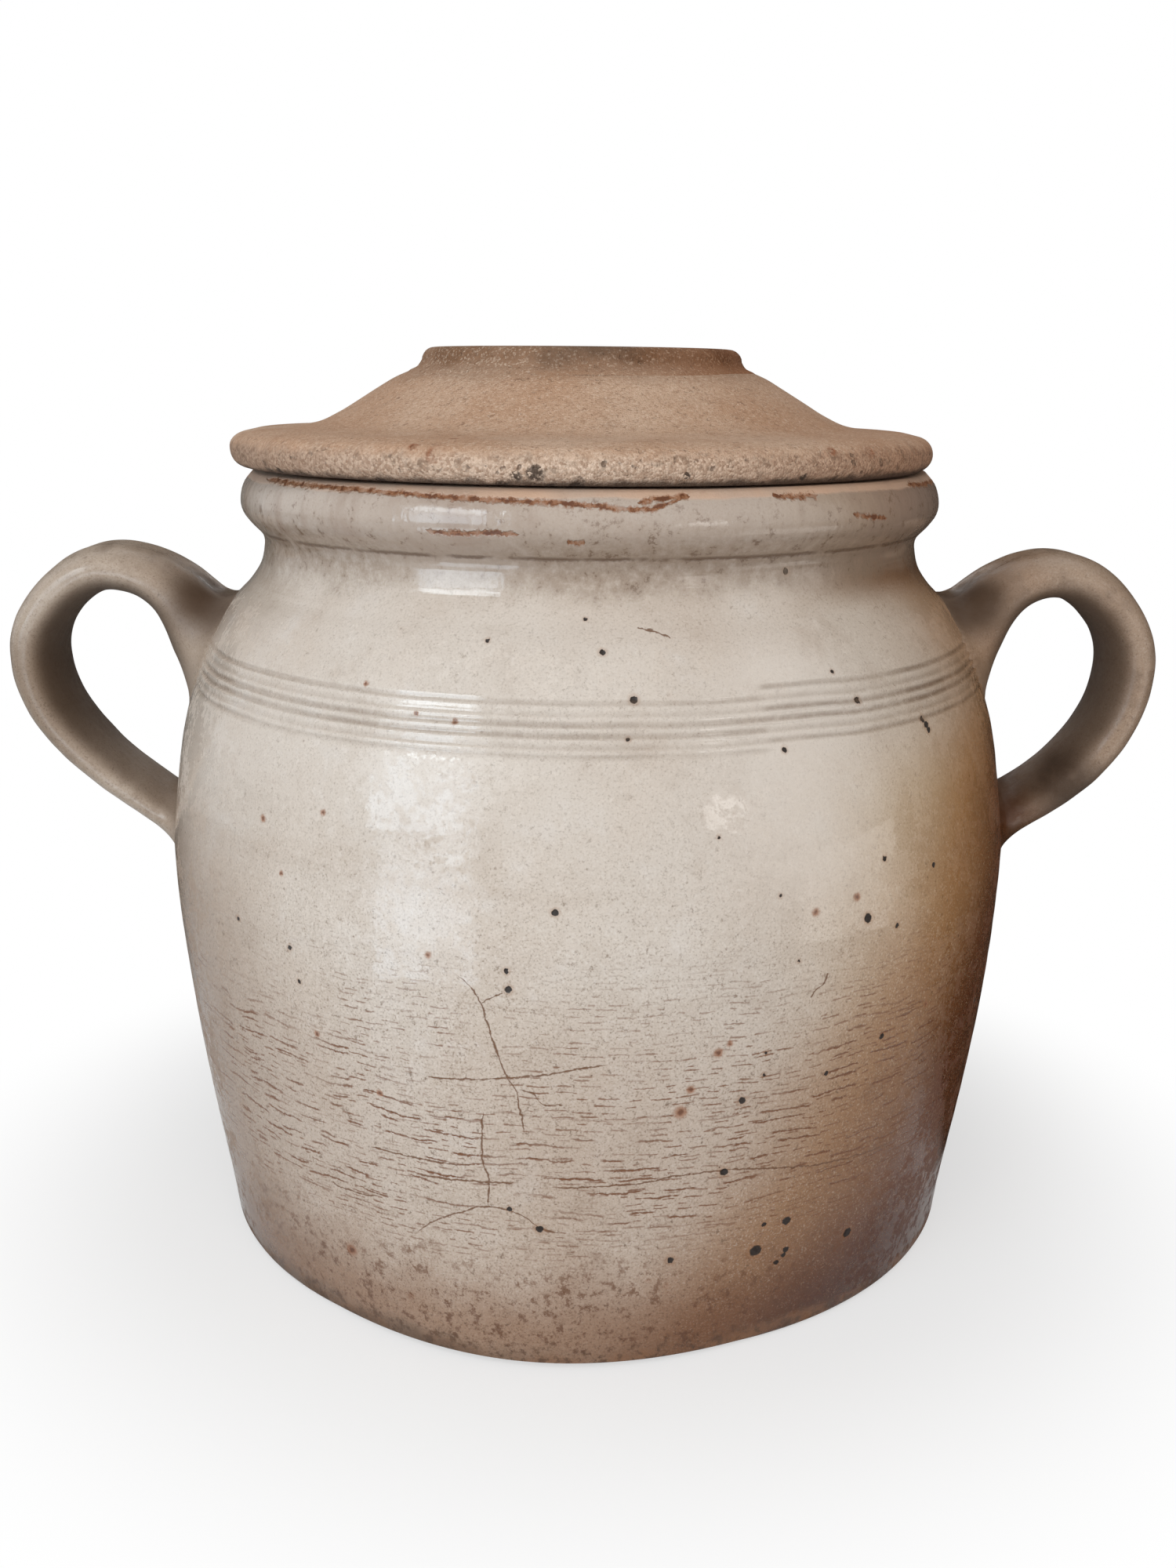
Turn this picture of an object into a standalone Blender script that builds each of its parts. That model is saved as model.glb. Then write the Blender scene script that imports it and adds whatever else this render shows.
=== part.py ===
"""Confit pot: a turned stoneware jar with two strap handles and a loose lid.

Metres, +Z up. The origin is the centre of the base that the pot stands on, and
the two handles lie along X. Heights of the jar are measured from that base, and
heights of the lid and its crown from their own undersides.
"""

import math
from bisect import bisect_left

import bmesh
import bpy
from mathutils import Vector

# Clearance between pieces that meet, and how far cutters and roots run on
GAP = 0.0003
OVERRUN = 0.004

# Turned jar
POT_HEIGHT = 0.2045
FOOT_RADIUS = 0.1022
FOOT_ROUND = 0.0014
BELLY_RADIUS = 0.1144
BELLY_HEIGHT = 0.108
NECK_RADIUS = 0.0871
NECK_DROP = 0.0185
COLLAR_OVERHANG = 0.0056
LIP_ROUND = 0.002
WALL = 0.0085
FLOOR = 0.010
FLOOR_ROUND = 0.012

# Combed lines round the shoulder
GROOVE_COUNT = 6
GROOVE_DROP = 0.0425
GROOVE_PITCH = 0.0023
GROOVE_WIDTH = 0.0015
GROOVE_DEPTH = 0.0007

# Pulled strap handles
HANDLE_REACH = 0.0424
HANDLE_TOP_DROP = 0.0018
UPPER_ROOT_DROP = 0.0475
ROOT_SPACING = 0.0485
STRAP_WIDTH = 0.031
STRAP_THICKNESS = 0.0126
UPPER_ROOT_WIDTH = 0.050
UPPER_ROOT_LENGTH = 0.031
UPPER_ROOT_PINCH_SHARE = 0.35
LOWER_ROOT_WIDTH = 0.036
LOWER_ROOT_LENGTH = 0.016

# Lid: a cover with a brim and a locating flange, and the crown it is lifted by
BRIM_OVERHANG = 0.0053
BRIM_THICKNESS = 0.0086
BRIM_UNDERCUT = 0.0032
COVER_RISE = 0.0240
COVER_WALL = 0.0078
LID_CLEARANCE = 0.003
FLANGE_DROP = 0.008
FLANGE_WALL = 0.0065
CROWN_RADIUS = 0.0456
CROWN_HEIGHT = 0.0062
CROWN_TAPER = 0.0032
CROWN_ROUND = 0.0016
CROWN_RING_WIDTH = 0.0105
CROWN_HOLLOW_TAPER = 0.0025

# The lid was put down a little to the left in its clearance
LID_SHIFT_SHARE = 0.75

# Facets
TURN_STEP_COUNT = 48
BELLY_ROW_COUNT = 8
CURVE_ROW_COUNT = 2
ROUND_ROW_COUNT = 3
STRAP_SIDE_COUNT = 16
STRAP_ROW_COUNT = 3
SHARP_ANGLE = math.radians(40)

# Where the brim's rounded edge starts and ends, in degrees up from level
BRIM_EDGE_ANGLES = (75, -45)

# Belly: how slowly the wall leaves the foot, as an exponent on a quarter sine
BELLY_FLATNESS = 1.1

# Each pair is (share of the way in from belly to neck, share of the way up)
SHOULDER_SHARES = (
    (0, 0),
    (0.13, 0.333),
    (0.27, 0.519),
    (0.44, 0.667),
    (0.665, 0.797),
    (0.845, 0.867),
    (0.96, 0.93),
    (1, 1),
)

# Each pair is (share of the collar's overhang, share of the rise to the rim)
COLLAR_SHARES = (
    (0, 0),
    (0.1, 0.13),
    (0.62, 0.30),
    (0.95, 0.45),
    (1, 0.62),
    (0.8, 0.83),
    (0.34, 1),
)

# The strap's outer face, from the upper root round to the lower one. Each row is
# (share of the reach past the belly, share of the rise from the lower root to
# the top, share of the strap's thickness, share of its width)
STRAP_SHARES = (
    (-0.245, 0.888, 1.5, 1.36),
    (-0.038, 0.952, 1.2, 1.12),
    (0.132, 0.992, 1.11, 1.02),
    (0.297, 1, 1.04, 1),
    (0.538, 0.96, 1, 1),
    (0.757, 0.884, 1.02, 1),
    (0.922, 0.76, 0.98, 1),
    (1, 0.601, 0.98, 1),
    (0.943, 0.419, 0.92, 0.98),
    (0.804, 0.275, 0.86, 0.96),
    (0.63, 0.174, 0.8, 0.93),
    (0.429, 0.081, 0.74, 0.92),
    (0.262, 0.013, 0.74, 0.95),
)

# Each pair is (share of the way from the crown's edge out to the brim's edge,
# share of the way up from the top of the brim to the top of the cover)
COVER_SHARES = (
    (0, 1),
    (0.075, 0.9),
    (0.16, 0.75),
    (0.28, 0.53),
    (0.4, 0.31),
    (0.52, 0.15),
    (0.68, 0.08),
    (0.85, 0.05),
)

# Each pair is (share of the flange's inner radius, share of the dome's height)
DOME_SHARES = (
    (0.99, 0.28),
    (0.93, 0.53),
    (0.79, 0.75),
    (0.61, 0.94),
    (0.43, 1),
)

NECK_HEIGHT = POT_HEIGHT - NECK_DROP
MOUTH_RADIUS = NECK_RADIUS - WALL
BRIM_RADIUS = NECK_RADIUS + BRIM_OVERHANG
FLANGE_RADIUS = MOUTH_RADIUS - LID_CLEARANCE
LID_SHIFT = LID_SHIFT_SHARE * LID_CLEARANCE
UPPER_ROOT_HEIGHT = POT_HEIGHT - UPPER_ROOT_DROP
LOWER_ROOT_HEIGHT = UPPER_ROOT_HEIGHT - ROOT_SPACING


def mix(low, high, share):
    return low + (high - low) * share


def clear_scene():
    for found in list(bpy.data.objects):
        bpy.data.objects.remove(found, do_unlink=True)


def clay(name, colour, roughness):
    """A fired clay or glaze: no metal, its own colour and gloss."""
    material = bpy.data.materials.new(name)
    material.use_nodes = True
    shader = material.node_tree.nodes["Principled BSDF"]
    shader.inputs["Base Color"].default_value = (*colour, 1)
    shader.inputs["Roughness"].default_value = roughness
    shader.inputs["Metallic"].default_value = 0
    return material


def smooth(stations, steps):
    """Rows along a smooth curve that passes through every station."""
    rows = []
    last = len(stations) - 1
    for index in range(last):
        before = Vector(stations[max(index - 1, 0)])
        start = Vector(stations[index])
        end = Vector(stations[index + 1])
        after = Vector(stations[min(index + 2, last)])
        for step in range(steps):
            t = step / steps
            cubic = (3 * start - before - 3 * end + after) * t**3
            square = (2 * before - 5 * start + 4 * end - after) * t**2
            rows.append((cubic + square + (end - before) * t) / 2 + start)
    rows.append(Vector(stations[last]))
    return rows


def arc(centre, radius, start, end):
    """Rows on an arc from one angle to another, in degrees from +X."""
    rows = []
    for row in range(ROUND_ROW_COUNT + 1):
        angle = math.radians(mix(start, end, row / ROUND_ROW_COUNT))
        spoke = Vector((math.cos(angle), math.sin(angle)))
        rows.append(Vector(centre) + spoke * radius)
    return rows


def offset(rows, distance):
    """The rows moved sideways, to the left of their direction."""
    moved = []
    last = len(rows) - 1
    for index, row in enumerate(rows):
        along = rows[min(index + 1, last)] - rows[max(index - 1, 0)]
        side = Vector((-along.y, along.x)).normalized()
        moved.append(row + side * distance)
    return moved


def plain_outline():
    """The jar's outer wall from just above the foot to the rim, uncombed."""
    rows = []
    for row in range(BELLY_ROW_COUNT):
        height = mix(FOOT_ROUND, BELLY_HEIGHT, row / BELLY_ROW_COUNT)
        swell = math.sin(math.pi / 2 * height / BELLY_HEIGHT) ** BELLY_FLATNESS
        rows.append(Vector((mix(FOOT_RADIUS, BELLY_RADIUS, swell), height)))
    shoulder = [
        (mix(BELLY_RADIUS, NECK_RADIUS, inward), mix(BELLY_HEIGHT, NECK_HEIGHT, up))
        for inward, up in SHOULDER_SHARES
    ]
    collar = [
        (NECK_RADIUS + COLLAR_OVERHANG * out, NECK_HEIGHT + NECK_DROP * up)
        for out, up in COLLAR_SHARES
    ]
    rows += smooth(shoulder, CURVE_ROW_COUNT)[:-1]
    rows += smooth(collar, CURVE_ROW_COUNT)
    return rows


def radius_at(outline, height):
    """The outer wall's radius at one height."""
    heights = [row.y for row in outline]
    index = min(max(bisect_left(heights, height), 1), len(outline) - 1)
    below = outline[index - 1]
    above = outline[index]
    return mix(below.x, above.x, (height - below.y) / (above.y - below.y))


def combed_outline(outline):
    """The outer wall with the combed lines cut into the shoulder."""
    lines = []
    for index in range(GROOVE_COUNT):
        height = POT_HEIGHT - GROOVE_DROP - index * GROOVE_PITCH
        for rise, depth in ((1, 0), (0, GROOVE_DEPTH), (-1, 0)):
            level = height + rise * GROOVE_WIDTH / 2
            lines.append(Vector((radius_at(outline, level) - depth, level)))
    lines.reverse()
    below = [row for row in outline if row.y < lines[0].y - GROOVE_WIDTH / 2]
    above = [row for row in outline if row.y > lines[-1].y + GROOVE_WIDTH / 2]
    return below + lines + above


def inner_outline(outline):
    """The inside of the jar, from the floor's round up to the neck."""
    wall = offset(outline, WALL)
    start = FLOOR + FLOOR_ROUND
    kept = [row for row in wall if start + FLOOR_ROUND < row.y < NECK_HEIGHT]
    corner = Vector((radius_at(wall, start) - FLOOR_ROUND, start))
    return arc(corner, FLOOR_ROUND, -90, 0) + kept


def turned(name, section, closed, material):
    """A section of (radius, height) rows turned once round the vertical axis."""
    mesh = bpy.data.meshes.new(name)
    points = [(radius, 0, height) for radius, height in section]
    edges = [(index, index + 1) for index in range(len(points) - 1)]
    if closed:
        edges.append((len(points) - 1, 0))
    mesh.from_pydata(points, edges, [])
    made = bpy.data.objects.new(name, mesh)
    bpy.context.collection.objects.link(made)
    mesh.materials.append(material)
    turn = made.modifiers.new("Turn", "SCREW")
    turn.steps = TURN_STEP_COUNT
    turn.render_steps = TURN_STEP_COUNT
    turn.use_merge_vertices = True
    turn.merge_threshold = GAP / 10
    turn.use_smooth_shade = True
    return made


def make_pot_body(outline, material):
    """The jar: foot, belly, combed shoulder, neck and rolled collar, one wall."""
    inside = inner_outline(outline)
    foot_centre = (FOOT_RADIUS - FOOT_ROUND, FOOT_ROUND)
    lip_centre = (MOUTH_RADIUS + LIP_ROUND, POT_HEIGHT - LIP_ROUND)
    section = [(0, FLOOR)]
    section += inside
    section += [(MOUTH_RADIUS, NECK_HEIGHT)]
    section += arc(lip_centre, LIP_ROUND, 180, 90)
    section += reversed(combed_outline(outline))
    section += arc(foot_centre, FOOT_ROUND, 0, -90)[1:]
    section += [(0, 0)]
    return turned("pot_body", section, False, material)


def make_wall_cutter(outline, material):
    """The space that the handles leave free: the jar, filled, and a gap."""
    skin = offset(outline, -GAP)
    section = [(0, POT_HEIGHT + OVERRUN)]
    section += [(skin[-1].x, POT_HEIGHT + OVERRUN)]
    section += reversed(skin)
    section += [(skin[0].x, -OVERRUN), (0, -OVERRUN)]
    cutter = turned("wall_cutter", section, False, material)
    cutter.hide_render = True
    cutter.display_type = "WIRE"
    return cutter


def root_edge(outline, height):
    """A point on the outer wall, where a strap's edge meets it."""
    return Vector((radius_at(outline, height), height))


def strap_stations(outline):
    """The strap's stations, root to root, before it is cut to the wall.

    Each is (outer face's place, inner face's place, half width, pinch), and a
    pinched ring is wide at its outer face and narrow at its inner face.
    """
    rise = NECK_HEIGHT - HANDLE_TOP_DROP - LOWER_ROOT_HEIGHT
    upper_width = (UPPER_ROOT_WIDTH / 2, UPPER_ROOT_PINCH_SHARE)
    lower_width = (LOWER_ROOT_WIDTH / 2, 0)
    sink = Vector((-2 * WALL, 0))
    upper_outer = root_edge(outline, UPPER_ROOT_HEIGHT + UPPER_ROOT_LENGTH / 2)
    upper_inner = root_edge(outline, UPPER_ROOT_HEIGHT - UPPER_ROOT_LENGTH / 2)
    lower_outer = root_edge(outline, LOWER_ROOT_HEIGHT - LOWER_ROOT_LENGTH / 2)
    lower_inner = root_edge(outline, LOWER_ROOT_HEIGHT + LOWER_ROOT_LENGTH / 2)
    face = [upper_outer]
    for out, up, *_ in STRAP_SHARES:
        reach = BELLY_RADIUS + HANDLE_REACH * out
        face.append(Vector((reach, LOWER_ROOT_HEIGHT + rise * up)))
    face.append(lower_outer)
    back = offset(face, -STRAP_THICKNESS)
    stations = [
        (*(upper_outer + sink), *(upper_inner + sink), *upper_width),
        (*upper_outer, *upper_inner, *upper_width),
    ]
    for row, (*_, thick, wide) in enumerate(STRAP_SHARES, 1):
        inner = face[row].lerp(back[row], thick)
        stations.append((*face[row], *inner, wide * STRAP_WIDTH / 2, 0))
    stations.append((*lower_outer, *lower_inner, *lower_width))
    stations.append((*(lower_outer + sink), *(lower_inner + sink), *lower_width))
    return stations


def make_handle(name, outline, cutter, heading, material):
    """One strap, swept along its loop and cut to the curve of the wall."""
    rows = smooth(strap_stations(outline), STRAP_ROW_COUNT)
    bm = bmesh.new()
    rings = []
    for row in rows:
        outer = Vector(row[0:2])
        inner = Vector(row[2:4])
        half_width, pinch = row[4:6]
        ring = []
        for side in range(STRAP_SIDE_COUNT):
            angle = 2 * math.pi * side / STRAP_SIDE_COUNT
            through = math.sin(angle)
            place = inner.lerp(outer, (1 + through) / 2)
            width = half_width * (1 + pinch * through)
            ring.append(bm.verts.new((place.x, math.cos(angle) * width, place.y)))
        rings.append(ring)
    for first, second in zip(rings, rings[1:]):
        for side in range(STRAP_SIDE_COUNT):
            after = (side + 1) % STRAP_SIDE_COUNT
            bm.faces.new((first[side], first[after], second[after], second[side]))
    bm.faces.new(rings[0])
    bm.faces.new(rings[-1])
    bmesh.ops.recalc_face_normals(bm, faces=bm.faces)
    mesh = bpy.data.meshes.new(name)
    bm.to_mesh(mesh)
    bm.free()
    mesh.shade_smooth()
    mesh.set_sharp_from_angle(angle=SHARP_ANGLE)
    mesh.materials.append(material)
    handle = bpy.data.objects.new(name, mesh)
    bpy.context.collection.objects.link(handle)
    handle.rotation_euler.z = heading
    cut = handle.modifiers.new("Fit to wall", "BOOLEAN")
    cut.operation = "DIFFERENCE"
    cut.solver = "EXACT"
    cut.object = cutter
    return handle


def make_lid_cover(material):
    """The cover: brim, sloping cone, flat seat and a flange inside the mouth."""
    dome_height = COVER_RISE - COVER_WALL + FLANGE_DROP
    flange_inside = FLANGE_RADIUS - FLANGE_WALL
    section = [(0, COVER_RISE)]
    cone = [
        (mix(CROWN_RADIUS, BRIM_RADIUS, out), mix(BRIM_THICKNESS, COVER_RISE, up))
        for out, up in COVER_SHARES
    ]
    half = BRIM_THICKNESS / 2
    edge = arc((BRIM_RADIUS - half, half), half, *BRIM_EDGE_ANGLES)
    section += smooth(cone, CURVE_ROW_COUNT)
    section += edge
    section += [
        (BRIM_RADIUS - half - BRIM_UNDERCUT / 2, 0),
        (FLANGE_RADIUS, 0),
        (FLANGE_RADIUS, FLANGE_WALL / 4 - FLANGE_DROP),
        (FLANGE_RADIUS - FLANGE_WALL / 4, -FLANGE_DROP),
        (flange_inside, -FLANGE_DROP),
    ]
    section += [
        (flange_inside * out, dome_height * up - FLANGE_DROP)
        for out, up in DOME_SHARES
    ]
    section += [(0, dome_height - FLANGE_DROP)]
    return turned("lid_cover", section, False, material)


def make_lid_crown(material):
    """The grip: a low ring like a foot, which leaves a shallow hollow on top."""
    top = CROWN_RADIUS - CROWN_TAPER
    inside = CROWN_RADIUS - CROWN_TAPER - CROWN_RING_WIDTH
    outer_edge = (top - CROWN_ROUND, CROWN_HEIGHT - CROWN_ROUND)
    inner_edge = (inside + CROWN_ROUND, CROWN_HEIGHT - CROWN_ROUND)
    section = arc(inner_edge, CROWN_ROUND, 180, 90)
    section += arc(outer_edge, CROWN_ROUND, 90, 0)
    section += [(CROWN_RADIUS, 0)]
    section += [(inside - CROWN_HOLLOW_TAPER, 0)]
    return turned("lid_crown", section, True, material)


def main():
    clear_scene()
    glaze = clay("Pot glaze", (0.51, 0.44, 0.36), 0.22)
    left_glaze = clay("Left handle glaze", (0.36, 0.30, 0.25), 0.35)
    right_glaze = clay("Right handle glaze", (0.35, 0.28, 0.23), 0.35)
    fired_clay = clay("Lid clay", (0.38, 0.24, 0.16), 0.85)
    crown_clay = clay("Crown clay", (0.30, 0.20, 0.14), 0.85)

    outline = plain_outline()
    pot = make_pot_body(outline, glaze)
    cutter = make_wall_cutter(outline, glaze)
    right = make_handle("handle_right", outline, cutter, 0, right_glaze)
    left = make_handle("handle_left", outline, cutter, math.pi, left_glaze)
    for piece in (cutter, right, left):
        piece.parent = pot

    cover = make_lid_cover(fired_clay)
    cover.location = (-LID_SHIFT, 0, POT_HEIGHT + GAP)
    crown = make_lid_crown(crown_clay)
    crown.parent = cover
    crown.location = (0, 0, COVER_RISE + GAP)


main()
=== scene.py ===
# %% [markdown]
# A confit pot: a thrown stoneware jar with two pulled handles and a loose lid.
# This lesson dresses a plain solid model of it. The solids give every size and
# place, so they are loaded first and never changed. Each piece is then made
# again with the surface that the real one has, and hides the solid it stands for.

# %% Load the solid model
import math
from functools import partialmethod, reduce

import bmesh
import bpy
import numpy as np
from mathutils import Matrix, Vector, noise
from mathutils.bvhtree import BVHTree


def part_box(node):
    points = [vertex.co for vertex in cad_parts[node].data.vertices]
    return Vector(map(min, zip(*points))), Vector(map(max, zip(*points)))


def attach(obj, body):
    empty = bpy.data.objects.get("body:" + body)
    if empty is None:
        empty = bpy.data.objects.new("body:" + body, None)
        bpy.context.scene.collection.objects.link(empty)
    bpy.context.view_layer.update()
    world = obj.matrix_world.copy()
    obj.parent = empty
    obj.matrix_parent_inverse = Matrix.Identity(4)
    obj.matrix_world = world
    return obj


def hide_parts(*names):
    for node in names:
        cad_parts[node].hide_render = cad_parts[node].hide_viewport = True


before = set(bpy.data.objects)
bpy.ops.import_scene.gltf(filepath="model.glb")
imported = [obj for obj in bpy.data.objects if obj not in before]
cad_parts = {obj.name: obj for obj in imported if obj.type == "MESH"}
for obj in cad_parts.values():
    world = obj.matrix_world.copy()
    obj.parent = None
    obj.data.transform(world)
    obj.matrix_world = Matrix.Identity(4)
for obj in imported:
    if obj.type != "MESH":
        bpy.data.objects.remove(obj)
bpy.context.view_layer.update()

# %% [markdown]
# The camera comes before the looks. The picture was taken from just above the
# lid, about 44 cm away from the jar's axis, looking down by 14 degrees. A long
# side of 36 mm makes the lens easy to compare with a real one.

# %% Set up the camera
FOCAL_LENGTH, SENSOR_HEIGHT = 36.7, 36
CAMERA_PLACE, CAMERA_PITCH, CAMERA_ROLL = (0, -0.4392, 0.2283), 75.68, 0.27


def turned_by(degrees, axis):
    return Matrix.Rotation(math.radians(degrees), 4, axis)


def add_object(name, data):
    made = bpy.data.objects.new(name, data)
    bpy.context.scene.collection.objects.link(made)
    return made


lens = bpy.data.cameras.new("Camera")
lens.sensor_fit, lens.sensor_height, lens.lens = "VERTICAL", SENSOR_HEIGHT, FOCAL_LENGTH
camera = add_object("Camera", lens)
camera.matrix_world = (
    Matrix.Translation(CAMERA_PLACE) @ turned_by(CAMERA_PITCH, "X") @ turned_by(CAMERA_ROLL, "Z")
)
bpy.context.scene.camera = camera
bpy.context.scene.view_settings.view_transform = "Standard"
print("camera at", tuple(round(c, 3) for c in camera.matrix_world.translation))

# %% [markdown]
# Pots are made of smooth curves that pass through a few chosen points, so two
# small helpers come first. One draws a smooth line through stations, and the
# other puts points on a line at the spacing that each stretch needs.


# %% Helpers for smooth lines
SAME_POINT = 0.00002


def mix(low, high, share):
    return low + (high - low) * share


def smooth(stations, steps):
    """Rows along a smooth curve that passes through every station."""
    stations = np.array(stations, float)
    rows = []
    for index in range(len(stations) - 1):
        before = stations[max(index - 1, 0)]
        start, end = stations[index], stations[index + 1]
        after = stations[min(index + 2, len(stations) - 1)]
        for t in np.arange(steps) / steps:
            cubic = (3 * start - before - 3 * end + after) * t**3
            square = (2 * before - 5 * start + 4 * end - after) * t**2
            rows.append((cubic + square + (end - before) * t) / 2 + start)
    return np.array([*rows, stations[-1]])


def arc(centre, radius, start, end, steps=6):
    """Rows on an arc from one angle to another, in degrees from +X."""
    angles = np.radians(np.linspace(start, end, steps + 1))
    return np.array(centre) + radius * np.c_[np.cos(angles), np.sin(angles)]


def spaced(rows, gap=None, count=None):
    """The same line with its rows evenly apart, by a gap or by a count of rows."""
    rows = np.array(rows, float)
    lengths = np.r_[0, np.cumsum(np.linalg.norm(np.diff(rows[:, :2], axis=0), axis=1))]
    wanted = np.linspace(0, lengths[-1], count or max(2, round(lengths[-1] / gap) + 1))
    return np.c_[tuple(np.interp(wanted, lengths, column) for column in rows.T)]


def joined(*parts):
    """Several lines as one, without points that fall on each other."""
    rows = np.vstack([np.atleast_2d(part) for part in parts])
    return rows[np.r_[True, np.linalg.norm(np.diff(rows, axis=0), axis=1) > SAME_POINT]]


def around(angle, radius, height):
    """The point at an angle in degrees from the front, a radius and a height."""
    turn = math.radians(angle)
    return Vector((radius * math.sin(turn), -radius * math.cos(turn), height))


# %% [markdown]
# Geometry Nodes and shader nodes are both built by hand here. Long sums made of
# node calls are hard to read, so a small class lets the output of a node be used
# in a sum, as a number is. Each operator adds one Math node to the tree.


# %% A helper that writes node trees as sums
def feed(socket, value):
    """Sets an input to a value, or links it to a wire."""
    if isinstance(value, Wire):
        socket.id_data.links.new(value.socket, socket)
    elif value is not None:
        socket.default_value = value


class Wire:
    """The output of a node, which can be used in sums."""

    def __init__(self, socket):
        self.socket, self.tree = socket, socket.id_data

    def math(self, operation, *others):
        values = dict(enumerate((self, *others)))
        return place(self, "Math", values, operation=operation)

    def vector(self, operation, *others, out=0):
        values = dict(enumerate((self, *others)))
        return place(self, "VectorMath", values, out, operation=operation)

    def after(self, operation, other):
        """The same sum with the wire as its second number."""
        return place(self, "Math", {0: other, 1: self}, operation=operation)

    __add__ = __radd__ = partialmethod(math, "ADD")
    __mul__ = __rmul__ = partialmethod(math, "MULTIPLY")
    __sub__, __rsub__ = partialmethod(math, "SUBTRACT"), partialmethod(after, "SUBTRACT")
    __truediv__, __rtruediv__ = partialmethod(math, "DIVIDE"), partialmethod(after, "DIVIDE")
    least, most = partialmethod(math, "MINIMUM"), partialmethod(math, "MAXIMUM")
    size, whole = partialmethod(math, "ABSOLUTE"), partialmethod(math, "FLOOR")
    part = partialmethod(math, "FRACT")

    def other(self, name):
        """Another output of the same node."""
        return Wire(self.socket.node.outputs[name])

    def ramp(self, low, high, start=0, end=1):
        """From start to end, smoothly, as the value goes from low to high."""
        values = {"Value": self, "From Min": low, "From Max": high, "To Min": start, "To Max": end}
        return place(self, "MapRange", values, interpolation_type="SMOOTHSTEP")

    def bump(self, centre, half):
        """1 at the centre, and 0 further from it than half."""
        return (self - centre).size().ramp(half, 0)


def place(near, kind, values=(), out=0, **settings):
    """Adds a node to a tree, or to that of a wire, and gives one of its outputs."""
    tree = near.tree if isinstance(near, Wire) else near
    node = tree.nodes.new(kind if kind.startswith("Geometry") else "ShaderNode" + kind)
    for name, value in settings.items():
        setattr(node, name, value)
    for name, value in dict(values).items():
        feed(node.inputs[name], value)
    return Wire(node.outputs[out])


def parts_of(vector):
    """The three numbers of a vector wire."""
    split = place(vector, "SeparateXYZ", {0: vector})
    return split, split.other("Y"), split.other("Z")


def vector_of(x, y, z):
    return place(x, "CombineXYZ", {0: x, 1: y, 2: z})


def cloud(vector, scale, detail=2.0, roughness=0.5, out=0):
    """Soft noise about a half, at so many lumps to the metre."""
    values = {"Vector": vector, "Scale": scale, "Detail": detail, "Roughness": roughness}
    return place(vector, "TexNoise", values, out)


def node_group(name, outputs, kind="ShaderNodeTree", **inputs):
    """Makes a node group of a function from input wires to output wires."""

    def make(build):
        tree = bpy.data.node_groups.new(name, kind)
        for side, sockets in (("INPUT", inputs), ("OUTPUT", outputs)):
            for label, start in sockets.items():
                form = start if isinstance(start, str) else type(start).__name__.title()
                socket = tree.interface.new_socket(
                    label.replace("_", " "), in_out=side, socket_type="NodeSocket" + form)
                if form is not start:
                    socket.default_value = start
        begin, end = tree.nodes.new("NodeGroupInput"), tree.nodes.new("NodeGroupOutput")
        wires = build(*(Wire(begin.outputs[index]) for index in range(len(inputs))))
        for label, wire in zip(outputs, wires):
            feed(end.inputs[label], wire)
        return tree

    return make


def use(group, where, **values):
    """Places a shader node group and gives its first output."""
    return place(where, "Group", {"Vector": where, **values}, node_tree=group)


def paint(shade):
    """A colour from 0 to 255 as seen on screen, in the linear form that shaders use."""
    if isinstance(shade, Wire):
        return shade
    shares = np.array(shade) / 255
    linear = np.where(shares <= 0.04045, shares / 12.92, ((shares + 0.055) / 1.055) ** 2.4)
    return (*linear.tolist(), 1.0)


def full_turn(x, y):
    """The angle round the axis from the front, as a share of a turn from -0.5 to 0.5."""
    return x.math("ARCTAN2", y * -1) / (2 * math.pi)


print("node helpers ready")

# %% [markdown]
# Jar, cover and crown are all turned on a wheel: one outline goes round an axis.
# A Screw modifier would make that shape, but it would look machined. A potter's
# hands leave rings that climb in a slow spiral, the clay settles a little out of
# round, and a comb held against the turning wheel cuts lines that wind round as
# one long thread. All of this follows rules, so a Geometry Nodes tree does the
# turning and adds these marks, and its inputs say how much of each.


# %% The turning tree
MERGE_GAP = 0.000008
WHOLE_TURN = 2 * math.pi


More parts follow.
